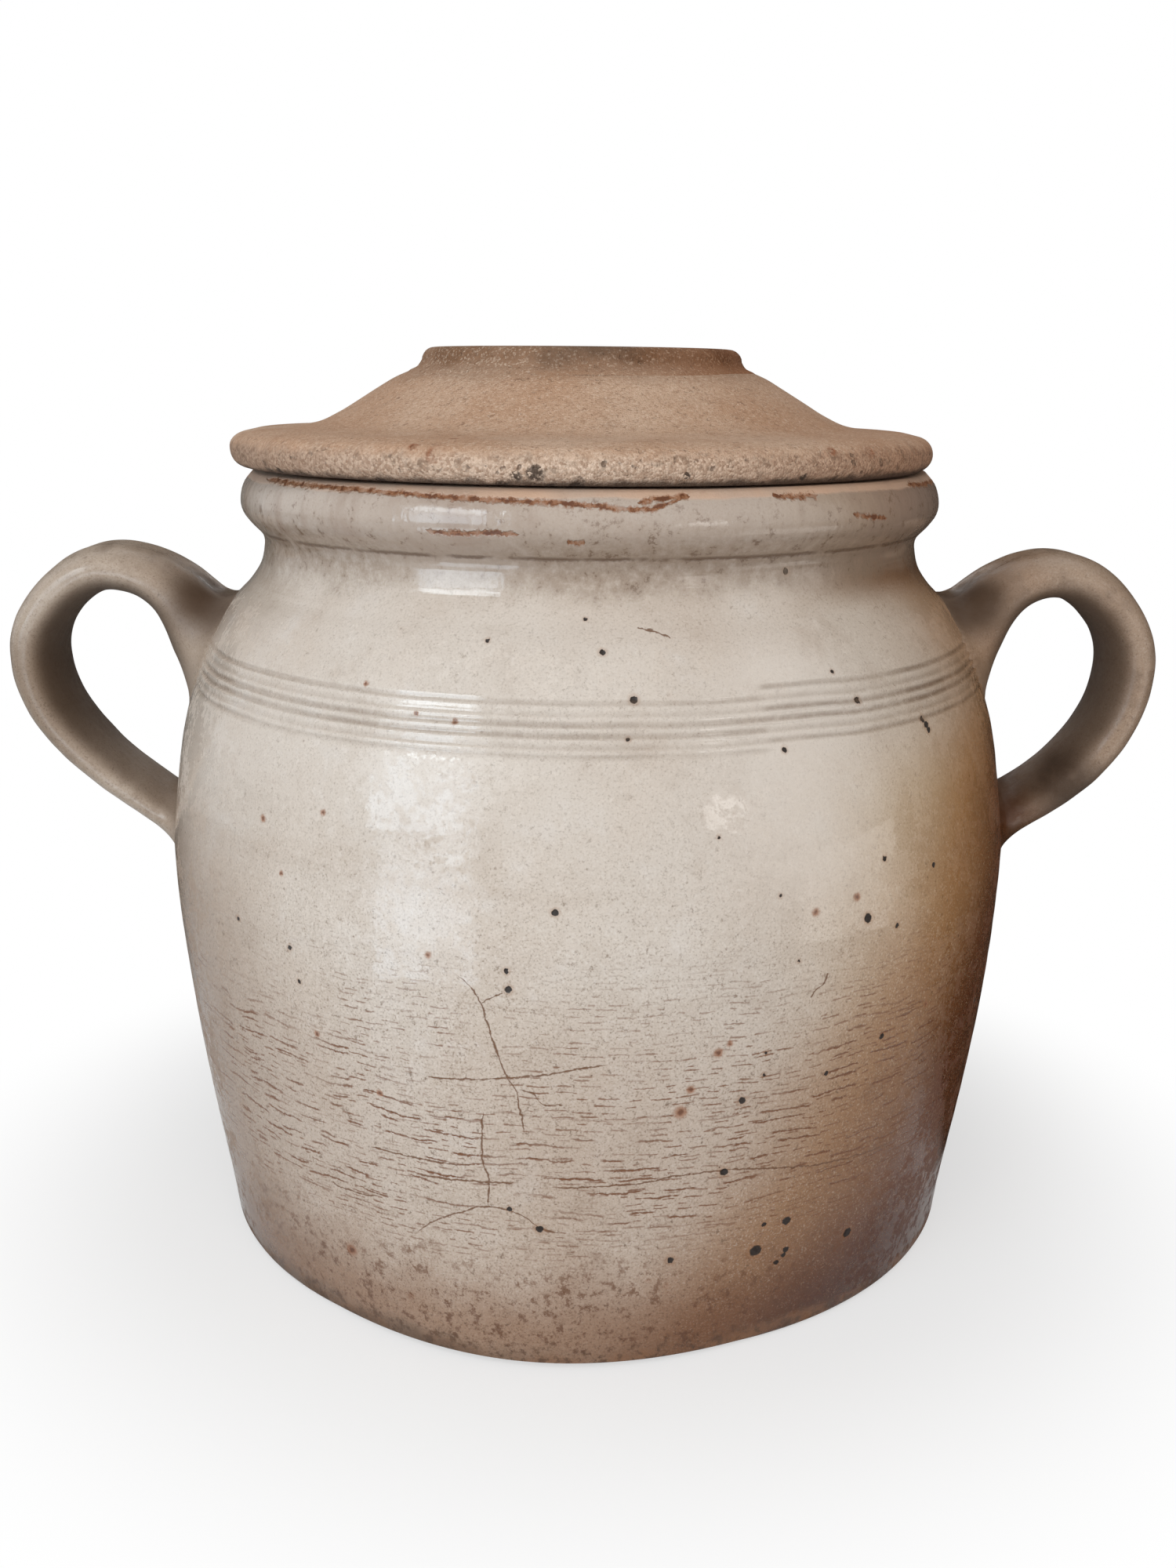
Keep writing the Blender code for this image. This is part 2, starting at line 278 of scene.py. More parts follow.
@node_group(
    "Turned clay", {"Piece": "Geometry"}, "GeometryNodeTree", Outline="Geometry", Rows=2,
    Steps=32, Settling=0.0, Settling_size=0.1, Oval=0.0, Ring_depth=0.0, Ring_pitch=0.01,
    Comb_top=0.0, Comb_pitch=0.01, Comb_turns=0.0, Comb_start=0.0, Comb_depth=0.0,
    Lumps=0.00006, Slump=0.0, Slump_turn=0.0, Seed=0.0, Clay="Material",
)
def turned_clay(outline, rows, steps, settling, settling_size, oval, ring_depth, ring_pitch,
                comb_top, comb_pitch, comb_turns, comb_start, comb_depth, lumps, slump,
                slump_turn, seed, clay):
    tree = outline.tree
    index = place(tree, "GeometryNodeInputIndex")
    row = (index + 0.5).math("MODULO", rows).whole()
    turn = ((index + 0.5) / rows).whole() / steps

    def from_outline(value, data_type="FLOAT"):
        values = {"Geometry": outline, "Value": value, "Index": row}
        return place(tree, "GeometryNodeSampleIndex", values, "Value", data_type=data_type)

    radius, _, height = parts_of(
        from_outline(place(tree, "GeometryNodeInputPosition"), "FLOAT_VECTOR"))
    hands, comb = (
        from_outline(place(tree, "GeometryNodeInputNamedAttribute", {"Name": name}, "Attribute"))
        for name in ("hands", "comb"))
    angle = turn * WHOLE_TURN
    across, along = angle.math("SINE"), angle.math("COSINE") * -1
    spot = vector_of(across * radius, along * radius, height + seed)

    settled = cloud(spot, 1 / settling_size.most(0.001), 1.5, 0.5, "Color")
    lean_out, _, lean_up = parts_of(settled)
    ring_phase = height / ring_pitch - turn + cloud(spot, 14) * 1.6
    ring_fade = cloud(spot, 21, 1).ramp(0.35, 0.65, 0.25, 1)
    rings = (ring_phase * WHOLE_TURN).math("SINE") * ring_fade * ring_depth

    thread = (comb_top - height) / comb_pitch - (turn - comb_start).part()
    thread = thread + (cloud(spot, 26, 1) - 0.5) * 0.55
    ends = thread.ramp(0, 0.4).least(thread.ramp(comb_turns, comb_turns - 0.5))
    each = place(tree, "TexWhiteNoise", {"W": thread.whole()}, noise_dimensions="1D")
    ends = ends * each.ramp(0, 1, 0.45, 1.1) * cloud(spot, 45, 1).ramp(0.3, 0.7, 0.6, 1.15)
    tooth = thread.part()
    cut = tooth.ramp(0.02, 0.6) * tooth.ramp(0.86, 0.64) * ends
    lip = tooth.bump(0.9, 0.12) * ends
    combed = (lip * 0.3 - cut) * comb_depth * comb

    aside = ((turn - slump_turn + 0.5).part() - 0.5).size().ramp(0.1, 0)
    slumped = slump * aside * height.ramp(0.04, 0) * hands.ramp(0, 0.05)
    out = (lean_out - 0.5) * 2 * settling + (angle * 2 + seed).math("SINE") * oval + rings
    out = (out + (cloud(spot, 95, 1.5) - 0.5) * 2 * lumps) * hands + combed + slumped
    up = (lean_up - 0.5) * 2 * settling * hands * height.size().ramp(0.002, 0.03)
    reach = radius + out * radius.ramp(0, 0.01)
    moved = vector_of(across * reach, along * reach, height + up)

    made = place(tree, "GeometryNodeMeshGrid", {"Vertices X": steps + 1, "Vertices Y": rows})
    for kind, values in (
        ("SetPosition", {"Position": moved}),
        ("StoreNamedAttribute", {"Name": "groove", "Value": cut * comb}),
        ("MergeByDistance", {"Distance": MERGE_GAP}),
        ("SetShadeSmooth", {}),
        ("RealizeInstances", {}),
        ("SetMaterial", {"Material": clay}),
    ):
        made = place(tree, "GeometryNode" + kind, {"Geometry": made, **values})
    return [made]


print("turning tree:", len(turned_clay.nodes), "nodes")

# %% [markdown]
# The tree reads the outline from a mesh of points joined by edges, x for the
# distance from the axis and z for the height. Two numbers ride on each point:
# how far the potter's hands may move it, and whether the comb touches it. The
# outline runs up the outside and down the inside, so that faces point outwards.


# %% Turn an outline into a finished mesh
SHARP_EDGE = math.radians(55)


def store(mesh, **columns):
    """Keeps named numbers on the points of a mesh."""
    for label, values in columns.items():
        held = mesh.attributes.new(label, "FLOAT", "POINT")
        held.data.foreach_set("value", np.full(len(mesh.vertices), values, np.float32))


def finished(name, mesh):
    mesh.calc_loop_triangles()
    print(name, len(mesh.loop_triangles), "triangles")
    return add_object(name, mesh)


def turn_piece(name, outline, steps, material, hands=1.0, comb=0.0, **settings):
    mesh = bpy.data.meshes.new(name + "_outline")
    points = [(radius, 0, height) for radius, height in outline]
    mesh.from_pydata(points, [(i, i + 1) for i in range(len(points) - 1)], [])
    store(mesh, hands=hands, comb=comb)
    line = add_object(name + "_outline", mesh)
    turning = line.modifiers.new("Turning", "NODES")
    turning.node_group = turned_clay
    wanted = {"Rows": len(points), "Steps": steps, "Clay": material}
    wanted.update({label.replace("_", " "): value for label, value in settings.items()})
    for item in turned_clay.interface.items_tree:
        if item.in_out == "INPUT" and item.name in wanted:
            turning[item.identifier] = wanted[item.name]
    seen = line.evaluated_get(bpy.context.evaluated_depsgraph_get())
    made = bpy.data.meshes.new_from_object(seen)
    made.name = name
    bpy.data.objects.remove(line)
    bpy.data.meshes.remove(mesh)
    made.set_sharp_from_angle(angle=SHARP_EDGE)
    return finished(name, made)


# %% [markdown]
# The finishes come next, because the turning tree hands each piece its material.
# Three effects show on more than one piece: a ragged band such as a worn edge or
# a dirty hollow, iron specks that melted out of the clay, and sandy grain. Crazing
# in short level dashes is on the jar alone, but at two sizes. Each of the four is
# a shader node group that is built once.


# %% Group: ragged band
@node_group("Ragged band", {"Mask": "Float"}, Vector="Vector", Value=0.0, Start=0.0, Fade=0.001,
            Raggedness=0.0, Lumps=100.0)
def ragged_band(vector, value, start, fade, raggedness, lumps):
    torn = cloud(vector, lumps, 4, 0.6) - 0.5
    return [(value + torn * raggedness - start).ramp(fade * -1, fade)]


# %% Group: iron specks
@node_group("Iron specks", {"Speck": "Float", "Halo": "Float"}, Vector="Vector", Spacing=0.01,
            Radius=0.001, Share=0.5)
def iron_specks(vector, spacing, radius, share):
    wobble = (cloud(vector, 1500, 1, 0.5) - 0.5) * radius * 0.9
    cell = place(vector, "TexVoronoi", {"Vector": vector, "Scale": 1 / spacing})
    chance, fate, _ = parts_of(cell.other("Color"))
    reach = cell * spacing + wobble
    radius = radius * fate.ramp(0, 1, 0.35, 1)
    there = chance.math("LESS_THAN", share)
    return reach.ramp(radius, radius * 0.55) * there, reach.ramp(radius * 2.6, radius * 0.6) * there


# %% Group: crazing in level dashes
@node_group("Crazing", {"Dash": "Float"}, Vector="Vector", Rows=400.0, Cells=40.0, Share=0.5,
            Width=0.1)
def crazing(vector, rows, cells, share, width):
    x, y, z = parts_of(vector)
    drift = (cloud(vector, 45, 3, 0.55) - 0.5) * 1.9
    level = z * rows + drift + (cloud(vector, 420, 2, 0.6) - 0.5) * 0.34
    line = level.whole()
    shift = place(vector, "TexWhiteNoise", {"Vector": vector_of(line, 3.0, 0.0)})
    reach = (full_turn(x, y) + 0.5) * cells + shift * 7
    cell = vector_of(reach.whole().math("MODULO", cells), line, 5.0)
    luck = place(vector, "TexWhiteNoise", {"Vector": cell})
    chance, long, place_up = parts_of(luck.other("Color"))
    middle = (reach.part() - 0.5).size() * 2
    body = middle.ramp(long.ramp(0, 1, 0.35, 0.98), long.ramp(0, 1, 0.15, 0.8))
    stroke = (level.part() - place_up.ramp(0, 1, 0.25, 0.75)).size()
    thickness = width * cloud(vector, 900, 2, 0.7).ramp(0.3, 0.7, 0.35, 1.5)
    return [stroke.ramp(thickness, thickness * 0.2) * body * chance.math("LESS_THAN", share)]


# %% Group: sandy grain
@node_group("Sandy grain", {"Grain": "Float", "Pits": "Float", "Height": "Float"},
            Vector="Vector", Grains=1500.0)
def sandy_grain(vector, grains):
    sand = place(vector, "TexVoronoi", {"Vector": vector, "Scale": grains})
    tone, _, _ = parts_of(sand.other("Color"))
    fine = cloud(vector, grains * 0.8, 3, 0.65)
    pits = cloud(vector, grains * 0.28, 2, 0.5).ramp(0.62, 0.74)
    return tone * 0.5 + fine * 0.5, pits, (1 - sand) * 0.6 + fine * 0.5 - pits * 0.9


SHARED = (ragged_band, iron_specks, crazing, sandy_grain)
print("patterns:", [group.name for group in SHARED])

# %% [markdown]
# Colours are layered as they are on the pot: clay first, then glaze, then what
# the kiln and a century of kitchens added. One helper lays coats of colour over
# what is there, each through its mask, and another starts a material. Patterns
# are placed by Object coordinates, in metres, so a speck of 1 mm is written so.


# %% Helpers for layered colour
STAIN = "MULTIPLY"


def layered(colour, *coats):
    """A colour under coats, each a mask, a colour and, where it only stains, STAIN."""
    for mask, shade, *how in coats:
        tones = {0: mask, 6: paint(colour), 7: paint(shade)}
        blend = how[0] if how else "MIX"
        colour = place(mask, "Mix", tones, 2, data_type="RGBA", blend_type=blend)
    return colour


def band(where, value, start, fade, raggedness, lumps):
    """A mask that is 1 where the value is past the start, with a ragged edge."""
    return use(ragged_band, where, Value=value, Start=start, Fade=fade, Raggedness=raggedness,
               Lumps=lumps)


def stored(where, name):
    """A number that the points of the mesh hold."""
    return place(where, "Attribute", out="Fac", attribute_name=name)


def finish_material(name, build, gloss):
    """A material whose colour, roughness and relief come from build(where)."""
    material = bpy.data.materials.new(name)
    material.use_nodes = True
    tree = material.node_tree
    colour, roughness, relief, depth = build(place(tree, "TexCoord", out="Object"))
    normal = place(tree, "Bump", {"Height": relief, "Distance": depth, "Strength": 1.0})
    for socket, value in (("Base Color", colour), ("Roughness", roughness), ("Normal", normal),
                          ("Specular IOR Level", gloss)):
        feed(tree.nodes["Principled BSDF"].inputs[socket], value)
    print(name, "has", len(tree.nodes), "nodes")
    return material


# %% [markdown]
# The jar's outline is written once, as the solid has it: a belly that swells like
# a quarter of a sine wave, then a shoulder and a rolled collar drawn through a
# few stations. It is needed here already, because marks on the glaze are placed
# by an angle and a height: 0 degrees is the front, and right is positive.

# %% The jar's outline
POT_HEIGHT = 0.2045
FOOT_RADIUS, FOOT_ROUND = 0.1022, 0.0014
BELLY_RADIUS, BELLY_HEIGHT, BELLY_FLATNESS = 0.1144, 0.108, 1.1
NECK_RADIUS, NECK_DROP, COLLAR_OVERHANG = 0.0871, 0.0185, 0.0056
WALL, FLOOR, FLOOR_ROUND, LIP_ROUND = 0.0085, 0.010, 0.012, 0.002
NECK_HEIGHT = POT_HEIGHT - NECK_DROP
MOUTH_RADIUS = NECK_RADIUS - WALL
SHOULDER_SHARES = ((0, 0), (0.13, 0.333), (0.27, 0.519), (0.44, 0.667), (0.665, 0.797),
                   (0.845, 0.867), (0.96, 0.93), (1, 1))
COLLAR_SHARES = ((0, 0), (0.1, 0.13), (0.62, 0.30), (0.95, 0.45), (1, 0.62), (0.8, 0.83),
                 (0.34, 1))

heights = np.linspace(FOOT_ROUND, BELLY_HEIGHT, 90)
swell = np.sin(math.pi / 2 * heights / BELLY_HEIGHT) ** BELLY_FLATNESS
belly = np.c_[mix(FOOT_RADIUS, BELLY_RADIUS, swell), heights]
shoulder = smooth([(mix(BELLY_RADIUS, NECK_RADIUS, inward), mix(BELLY_HEIGHT, NECK_HEIGHT, up))
                   for inward, up in SHOULDER_SHARES], 16)
collar = smooth([(NECK_RADIUS + COLLAR_OVERHANG * out, NECK_HEIGHT + NECK_DROP * up)
                 for out, up in COLLAR_SHARES], 12)
outer_wall = joined(belly, shoulder, collar)


def on_jar(angle, height):
    """The point of the jar's wall at an angle in degrees and a height in mm."""
    radius = np.interp(height / 1000, outer_wall[:, 1], outer_wall[:, 0])
    return around(angle, radius, height / 1000)


print("outline of", len(outer_wall), "rows, widest", round(2000 * outer_wall[:, 0].max(), 1), "mm")

# %% [markdown]
# Iron in the clay melts out through the glaze as brown and black spots. Small
# ones are scattered by the shared group, and the large ones that give this jar
# its face are listed one by one: angle, height, radius in mm, and 0 for black
# iron or 1 for a rusty bloom. The lid has a few of its own, pits left by grit
# among them: angle, distance from its axis, height above its seat, radius and kind.

# %% Groups: the large marks
FIRING_MARKS = (
    (-0.5, 176.6, 0.35, 0), (1.8, 170.1, 0.6, 0), (5.5, 160.8, 0.75, 0), (4.6, 152.9, 0.4, 0),
    (30.9, 185.5, 0.65, 0), (33.1, 163.9, 0.4, 0), (36.0, 157.4, 0.7, 0), (47.6, 150.6, 0.7, 0),
    (48.1, 149.2, 0.8, 0), (48.4, 147.9, 0.6, 0), (23.7, 149.1, 0.5, 0), (-13.5, 172, 0.4, 0),
    (-29.2, 161.6, 0.5, 1), (-16.1, 155.6, 0.55, 1), (-21.2, 156.6, 0.45, 1),
    (-32.3, 133.3, 0.55, 1), (-42.4, 128.6, 0.7, 1), (14.7, 131.9, 0.35, 0), (36.9, 121.9, 0.5, 0),
    (46.1, 117, 0.5, 0), (-3.5, 116.5, 0.65, 0), (-17.7, 105.2, 0.6, 1), (-8.8, 103.1, 0.5, 0),
    (-8.6, 98.8, 0.75, 0), (-46.8, 102.6, 0.5, 0), (-38.5, 117.3, 0.5, 1), (-37, 100.1, 0.55, 0),
    (-33.6, 80.1, 0.6, 1), (-35.8, 92.3, 0.45, 0), (-25, 68.8, 0.6, 1), (38.6, 105.7, 0.55, 0),
    (29.3, 72.8, 0.5, 0), (18.2, 69.9, 0.8, 0), (10.8, 68.6, 1.2, 1), (16.6, 51.5, 0.9, 0),
    (22.1, 27.4, 1.5, 0), (26.2, 34.1, 1.1, 0), (22.9, 34.5, 0.65, 0), (26.8, 25.4, 0.8, 0),
    (26.5, 24.0, 0.6, 0), (25.5, 22.3, 0.7, 0), (37.4, 23.9, 1.2, 0), (10.6, 28.7, 0.95, 0),
    (10.2, 21.8, 0.9, 1), (10.4, 19.6, 0.8, 1), (7.8, 23.6, 0.8, 1), (10.6, 16.6, 0.7, 0),
    (-6.7, 22.5, 0.75, 0), (-7.3, 22.9, 0.5, 0), (-32.7, 21.3, 1.3, 1), (-23.3, 13.9, 1.2, 1),
    (-9.3, 42.8, 0.5, 0), (-5.6, 37.9, 0.85, 0), (64, 71, 0.9, 0), (97, 52, 1.1, 0),
    (118, 118, 0.8, 1), (141, 84, 1.0, 0), (163, 134, 0.8, 0), (-172, 63, 1.2, 1),
    (-151, 101, 0.7, 0), (-133, 42, 1.2, 0), (-109, 92, 0.8, 1), (-84, 58, 0.9, 0),
    (32.3, 114.7, 0.8, 1), (33.8, 109.3, 1.0, 0), (26.4, 113.1, 0.8, 1), (21.9, 117.9, 0.4, 0),
    (14.9, 82.8, 0.9, 1), (16.2, 84.8, 0.6, 1), (11.9, 74.2, 0.8, 1), (20.7, 81.3, 0.4, 0),
    (20.7, 75.7, 0.4, 0), (37.7, 78.3, 0.7, 0), (24.2, 102.5, 0.35, 0), (45.9, 82.1, 0.6, 1),
)
LID_MARKS = (
    (-6.0, 92.1, 2.8, 1.9, 0), (-8.6, 91.6, 2.2, 1.1, 0), (-11.0, 89.6, 0.3, 1.3, 0),
    (-0.5, 89.2, 0.4, 1.5, 0), (-4.2, 89.3, 0.3, 1.0, 0), (-29.8, 89.4, 0.2, 1.2, 0),
    (33.0, 91.2, 1.6, 0.8, 0), (14.5, 91.8, 2.4, 0.7, 0), (-51.0, 91.0, 1.5, 1.1, 0),
    (-20.2, 91.5, 6.9, 2.0, 1), (-20.0, 82.5, 9.5, 1.1, 1), (-24.0, 90.0, 8.0, 1.2, 1),
    (36.5, 91.6, 6.8, 1.2, 1), (38.5, 91.0, 7.4, 1.3, 1), (46.8, 91.6, 6.8, 1.5, 1),
    (104, 91.4, 2.0, 1.4, 0), (139, 90.8, 1.4, 1.1, 0), (-127, 91.6, 2.6, 1.6, 0),
    (168, 82.0, 9.6, 1.8, 1), (-92, 88.0, 9.2, 1.5, 1),
)
MARK_SPREAD, MARK_UNEVENNESS = 0.14, 0.0009
LID_SHIFT, SEAT_GAP = 0.002, 0.0006


def marks_group(name, marks):
    """The distance from the nearest mark of each kind, in radii of that mark."""

    @node_group(name, {"Iron": "Float", "Rust": "Float"}, Vector="Vector")
    def group(vector):
        shake = cloud(vector, 1100, 2, 0.6, "Color").vector("SUBTRACT", (0.5, 0.5, 0.5))
        spot = vector.vector("ADD", shake.vector("MULTIPLY", (MARK_UNEVENNESS,) * 3))
        return [reduce(Wire.least, [
            spot.vector("DISTANCE", tuple(centre), out=1) * (1000 / radius)
            for centre, radius, kind in marks if kind == tone]) for tone in (0, 1)]

    return group


firing_marks = marks_group("Firing marks", [
    (on_jar(angle, height), radius + MARK_SPREAD, kind)
    for angle, height, radius, kind in FIRING_MARKS])
lid_marks = marks_group("Lid marks", [
    (around(angle, out / 1000, up / 1000 + POT_HEIGHT + SEAT_GAP) - Vector((LID_SHIFT, 0, 0)),
     radius, kind) for angle, out, up, radius, kind in LID_MARKS])
print(len(FIRING_MARKS), "marks on the jar,", len(LID_MARKS), "on the lid")

# %% [markdown]
# Cracks in a glaze are thin lines that wander. A line that runs mostly level has
# a height for each angle, and one that runs mostly upright has an angle for each
# height, so a Float Curve node can hold its whole course. The mask is the
# distance from that curve, which stays sharp however near the camera comes. Chips
# along the rim are the same thing, only wider, so one function makes both groups.

# %% Group: lines drawn on the jar
UPRIGHT_CRACKS = (
    ((63.4, -7.1), (69.6, -7.6), (74.5, -8.0), (77.5, -9.0), (81.6, -9.7), (88.2, -10.7),
     (95.0, -11.7), (98.1, -12.6), (102.1, -15.1)),
    ((43.0, -11.9), (50.0, -11.7), (54.3, -12.2), (62.4, -12.2), (68.2, -11.9)),
    ((93.0, 26.2), (94.7, 26.8), (96.3, 27.9), (98.4, 28.1)),
)
LEVEL_CRACKS = (
    ((-11.7, 95.1), (-10.4, 96.8), (-9.2, 97.9)),
    ((-18.6, 75.2), (-13.6, 76.0), (-9.0, 77.3), (-5.6, 78.3), (0.1, 80.7), (2.3, 81.3)),
    ((-22.0, 31.8), (-17.7, 38.2), (-15.0, 40.7), (-11.9, 42.8), (-9.1, 42.2), (-6.7, 39.9),
     (-5.4, 37.9), (-3.2, 37.0)),
    ((-7.4, 74.6), (-6.1, 73.9), (-4.9, 71.3), (-2.6, 71.4)),
    ((-27.0, 53.8), (-20, 53.2), (-13.5, 53.8)),
    ((-21.3, 48.8), (-15, 49.2), (-8.3, 50.3)),
    ((-4.4, 49.3), (5, 50.4), (15.0, 52.0), (22, 50.6), (30.1, 48.0), (38, 46.6), (45.3, 46.0)),
    ((-34.7, 39.6), (-31, 39.0), (-27.1, 39.8)),
    ((6.5, 174.9), (8.4, 174.3), (11, 172.9)),
    ((96, 62), (109, 60), (121, 63), (134, 61)),
    ((-148, 47), (-136, 49), (-120, 46), (-104, 48)),
)
RIM_CHIPS = (
    ((-62, 203.7), (-45, 203.4), (-27.7, 203.0), (-14.2, 202.2), (-5.5, 201.9), (0.9, 201.2),
     (7.2, 200.6), (10.5, 201.6), (13.5, 203.4)),
    ((-22.8, 195.3), (-19, 194.9), (-14, 195.2), (-9.4, 195.0)),
    ((6.5, 202.0), (9.5, 202.6), (14, 203.1)),
    ((26.5, 202.9), (30, 202.5), (34.5, 202.5)),
    ((40.5, 198.1), (44, 197.2), (48.8, 196.4)),
    ((-3.0, 193.5), (-1.6, 193.3), (-0.5, 193.5)),
    ((58, 203.3), (75, 202.6), (96, 203.2)),
    ((128, 202.4), (149, 202.9), (171, 201.9)),
    ((-158, 202.6), (-131, 203.1), (-104, 202.3)),
)


def lines_group(name, upright, level, shiver):
    """A mask of lines along courses: (mm up, degrees) if upright, (degrees, mm up) if level."""

    @node_group(name, {"Line": "Float"}, Vector="Vector", Width=0.0003)
    def group(vector, width):
        x, y, z = parts_of(vector)
        angle = full_turn(x, y) * 360
        wander = (cloud(vector, 380, 3, 0.65) - 0.5) * shiver
        blots = cloud(vector, 700, 2, 0.7).ramp(0.3, 0.7, 0.45, 1.35) * width

        def line(course, along, across, metres):
            stations = np.array(course, float)
            low, high = stations.min(0) - 0.5, stations.max(0) + 0.5
            (low_along, low_across), (span_along, span_across) = low.tolist(), (high - low).tolist()
            shares = (stations - low) / (high - low)
            share = (along - low_along) / span_along
            bend = place(vector, "FloatCurve", {"Value": share})
            mapping = bend.socket.node.mapping
            points = mapping.curves[0].points
            for station in shares[1:-1]:
                points.new(*station)
            points[0].location, points[-1].location = shares[0], shares[-1]
            mapping.update()
            away = (across - (bend * span_across + low_across)).size() * metres
            first, last = float(shares[0][0]), float(shares[-1][0])
            ends = share.ramp(first - 0.01, first + 0.06) * share.ramp(last + 0.01, last - 0.06)
            return away.ramp(blots * ends, blots * ends * 0.25)

        upright_in = (z * 1000, angle + wander * 0.5, BELLY_RADIUS * math.pi / 180)
        level_in = (angle, z * 1000 + wander, 0.001)
        return [reduce(Wire.most, [line(course, *upright_in) for course in upright]
                       + [line(course, *level_in) for course in level])]

    return group


cracks = lines_group("Cracks", UPRIGHT_CRACKS, LEVEL_CRACKS, 1.5)
rim_chips = lines_group("Rim chips", (), RIM_CHIPS, 1.3)
print("cracks", len(cracks.nodes), "nodes, rim chips", len(rim_chips.nodes), "nodes")

# %% [markdown]
# Jar and handles were dipped in the same glaze, so it is one group: a pale grey
# beige that pools and thins in soft clouds, level smears left by the wheel, a
# salt and pepper of fine specks, and a brown toasting on the right side, partly
# from the flame and partly painted shade. The group gives the colour, a mask for
# how dull it is, and its relief.


# %% Group: stoneware glaze
@node_group("Stoneware glaze", {"Colour": "Color", "Dullness": "Float", "Relief": "Float"},
            Vector="Vector", Toasting=0.0, Specks=1.0)
def stoneware_glaze(where, toasting_and_shade, specks):
    pools = cloud(where, 13, 3, 0.55).ramp(0.32, 0.68)
    patches = cloud(where, 70, 4, 0.65)
    smear = cloud(where.vector("MULTIPLY", (6.0, 6.0, 130.0)), 1, 3, 0.6)
    # Browning of the right side: partly flame toasting, partly painted shade.
    toast_and_shade = toasting_and_shade + (cloud(where, 24, 4, 0.6) - 0.5) * 0.3
    pepper = cloud(where, 1900, 2, 0.65)
    freckles = cloud(where, 640, 4, 0.75)
    dots, small, large = (
        use(iron_specks, where, Spacing=spacing, Radius=radius, Share=share)
        for spacing, radius, share in ((0.0036, 0.00024, 0.35), (0.0075, 0.00042, 0.5),
                                       (0.023, 0.0007, 0.35)))
    colour = layered(
        (198, 182, 167),
        (pools, (207, 195, 183)),
        (patches.ramp(0.5, 0.78) * 0.45, (178, 160, 144)),
        (patches.ramp(0.46, 0.25) * 0.35, (218, 210, 203)),
        (smear.ramp(0.55, 0.75) * 0.22, (172, 152, 134)),
        # Stains of toasting and painted shade on the right side.
        (toast_and_shade.ramp(0.0, 0.9), (210, 178, 146), STAIN),
        (toast_and_shade.ramp(0.65, 1.75), (158, 110, 66), STAIN),
        (pepper.ramp(0.52, 0.72) * specks * 0.6, (128, 106, 88)),
        (pepper.ramp(0.46, 0.3) * specks * 0.4, (226, 220, 214)),
        (freckles.ramp(0.585, 0.69) * specks * 0.65, (112, 88, 68)),
        (dots * specks * 0.35, (98, 74, 56)),
        (small.other("Halo") * specks * 0.25, (152, 112, 80)),
        (small * specks * 0.85, (80, 56, 40)),
        (large * specks * 0.9, (52, 36, 28)),
    )
    dull = cloud(where, 85, 4, 0.68) * 0.55 + cloud(where, 430, 3, 0.7) * 0.45
    relief = cloud(where, 190, 2, 0.5) * 0.3 + cloud(where, 620, 2, 0.5) * 0.03
    return colour, dull, relief - large * 0.2 - small * 0.08


print("the glaze has", len(stoneware_glaze.nodes), "nodes")

# %% [markdown]
# The jar's own finish adds what only the jar has. Level crazing gathers low on
# the belly. Dirt sits in the waist under the collar and in the combed lines. The
# glaze is rubbed off the rim, where the lid turns on it, so pink clay shows with
# a rusty edge. The foot was wiped clean of glaze before firing. Shade is painted
# in as well: the right side is browner and warmer, partly from toasting, the
# belly darkens towards the foot and at its far left edge, the neck darkens on
# its right, and a contact shadow runs along the foot, darkest on the left.


# %% The jar's glaze
WAIST_TOP, SEAM_HEIGHT, COLLAR_LOW, RUBBED_FROM = 0.1815, 0.1893, 0.19, 0.2026
SHORT_DASHES = {"Rows": 640, "Cells": 120, "Share": 0.76, "Width": 0.19}
LONG_DASHES = {"Rows": 360, "Cells": 46, "Share": 0.78, "Width": 0.15}
CRACK_WIDTH, CHIP_WIDTH, GLAZE_RELIEF = 0.00036, 0.00095, 0.00028


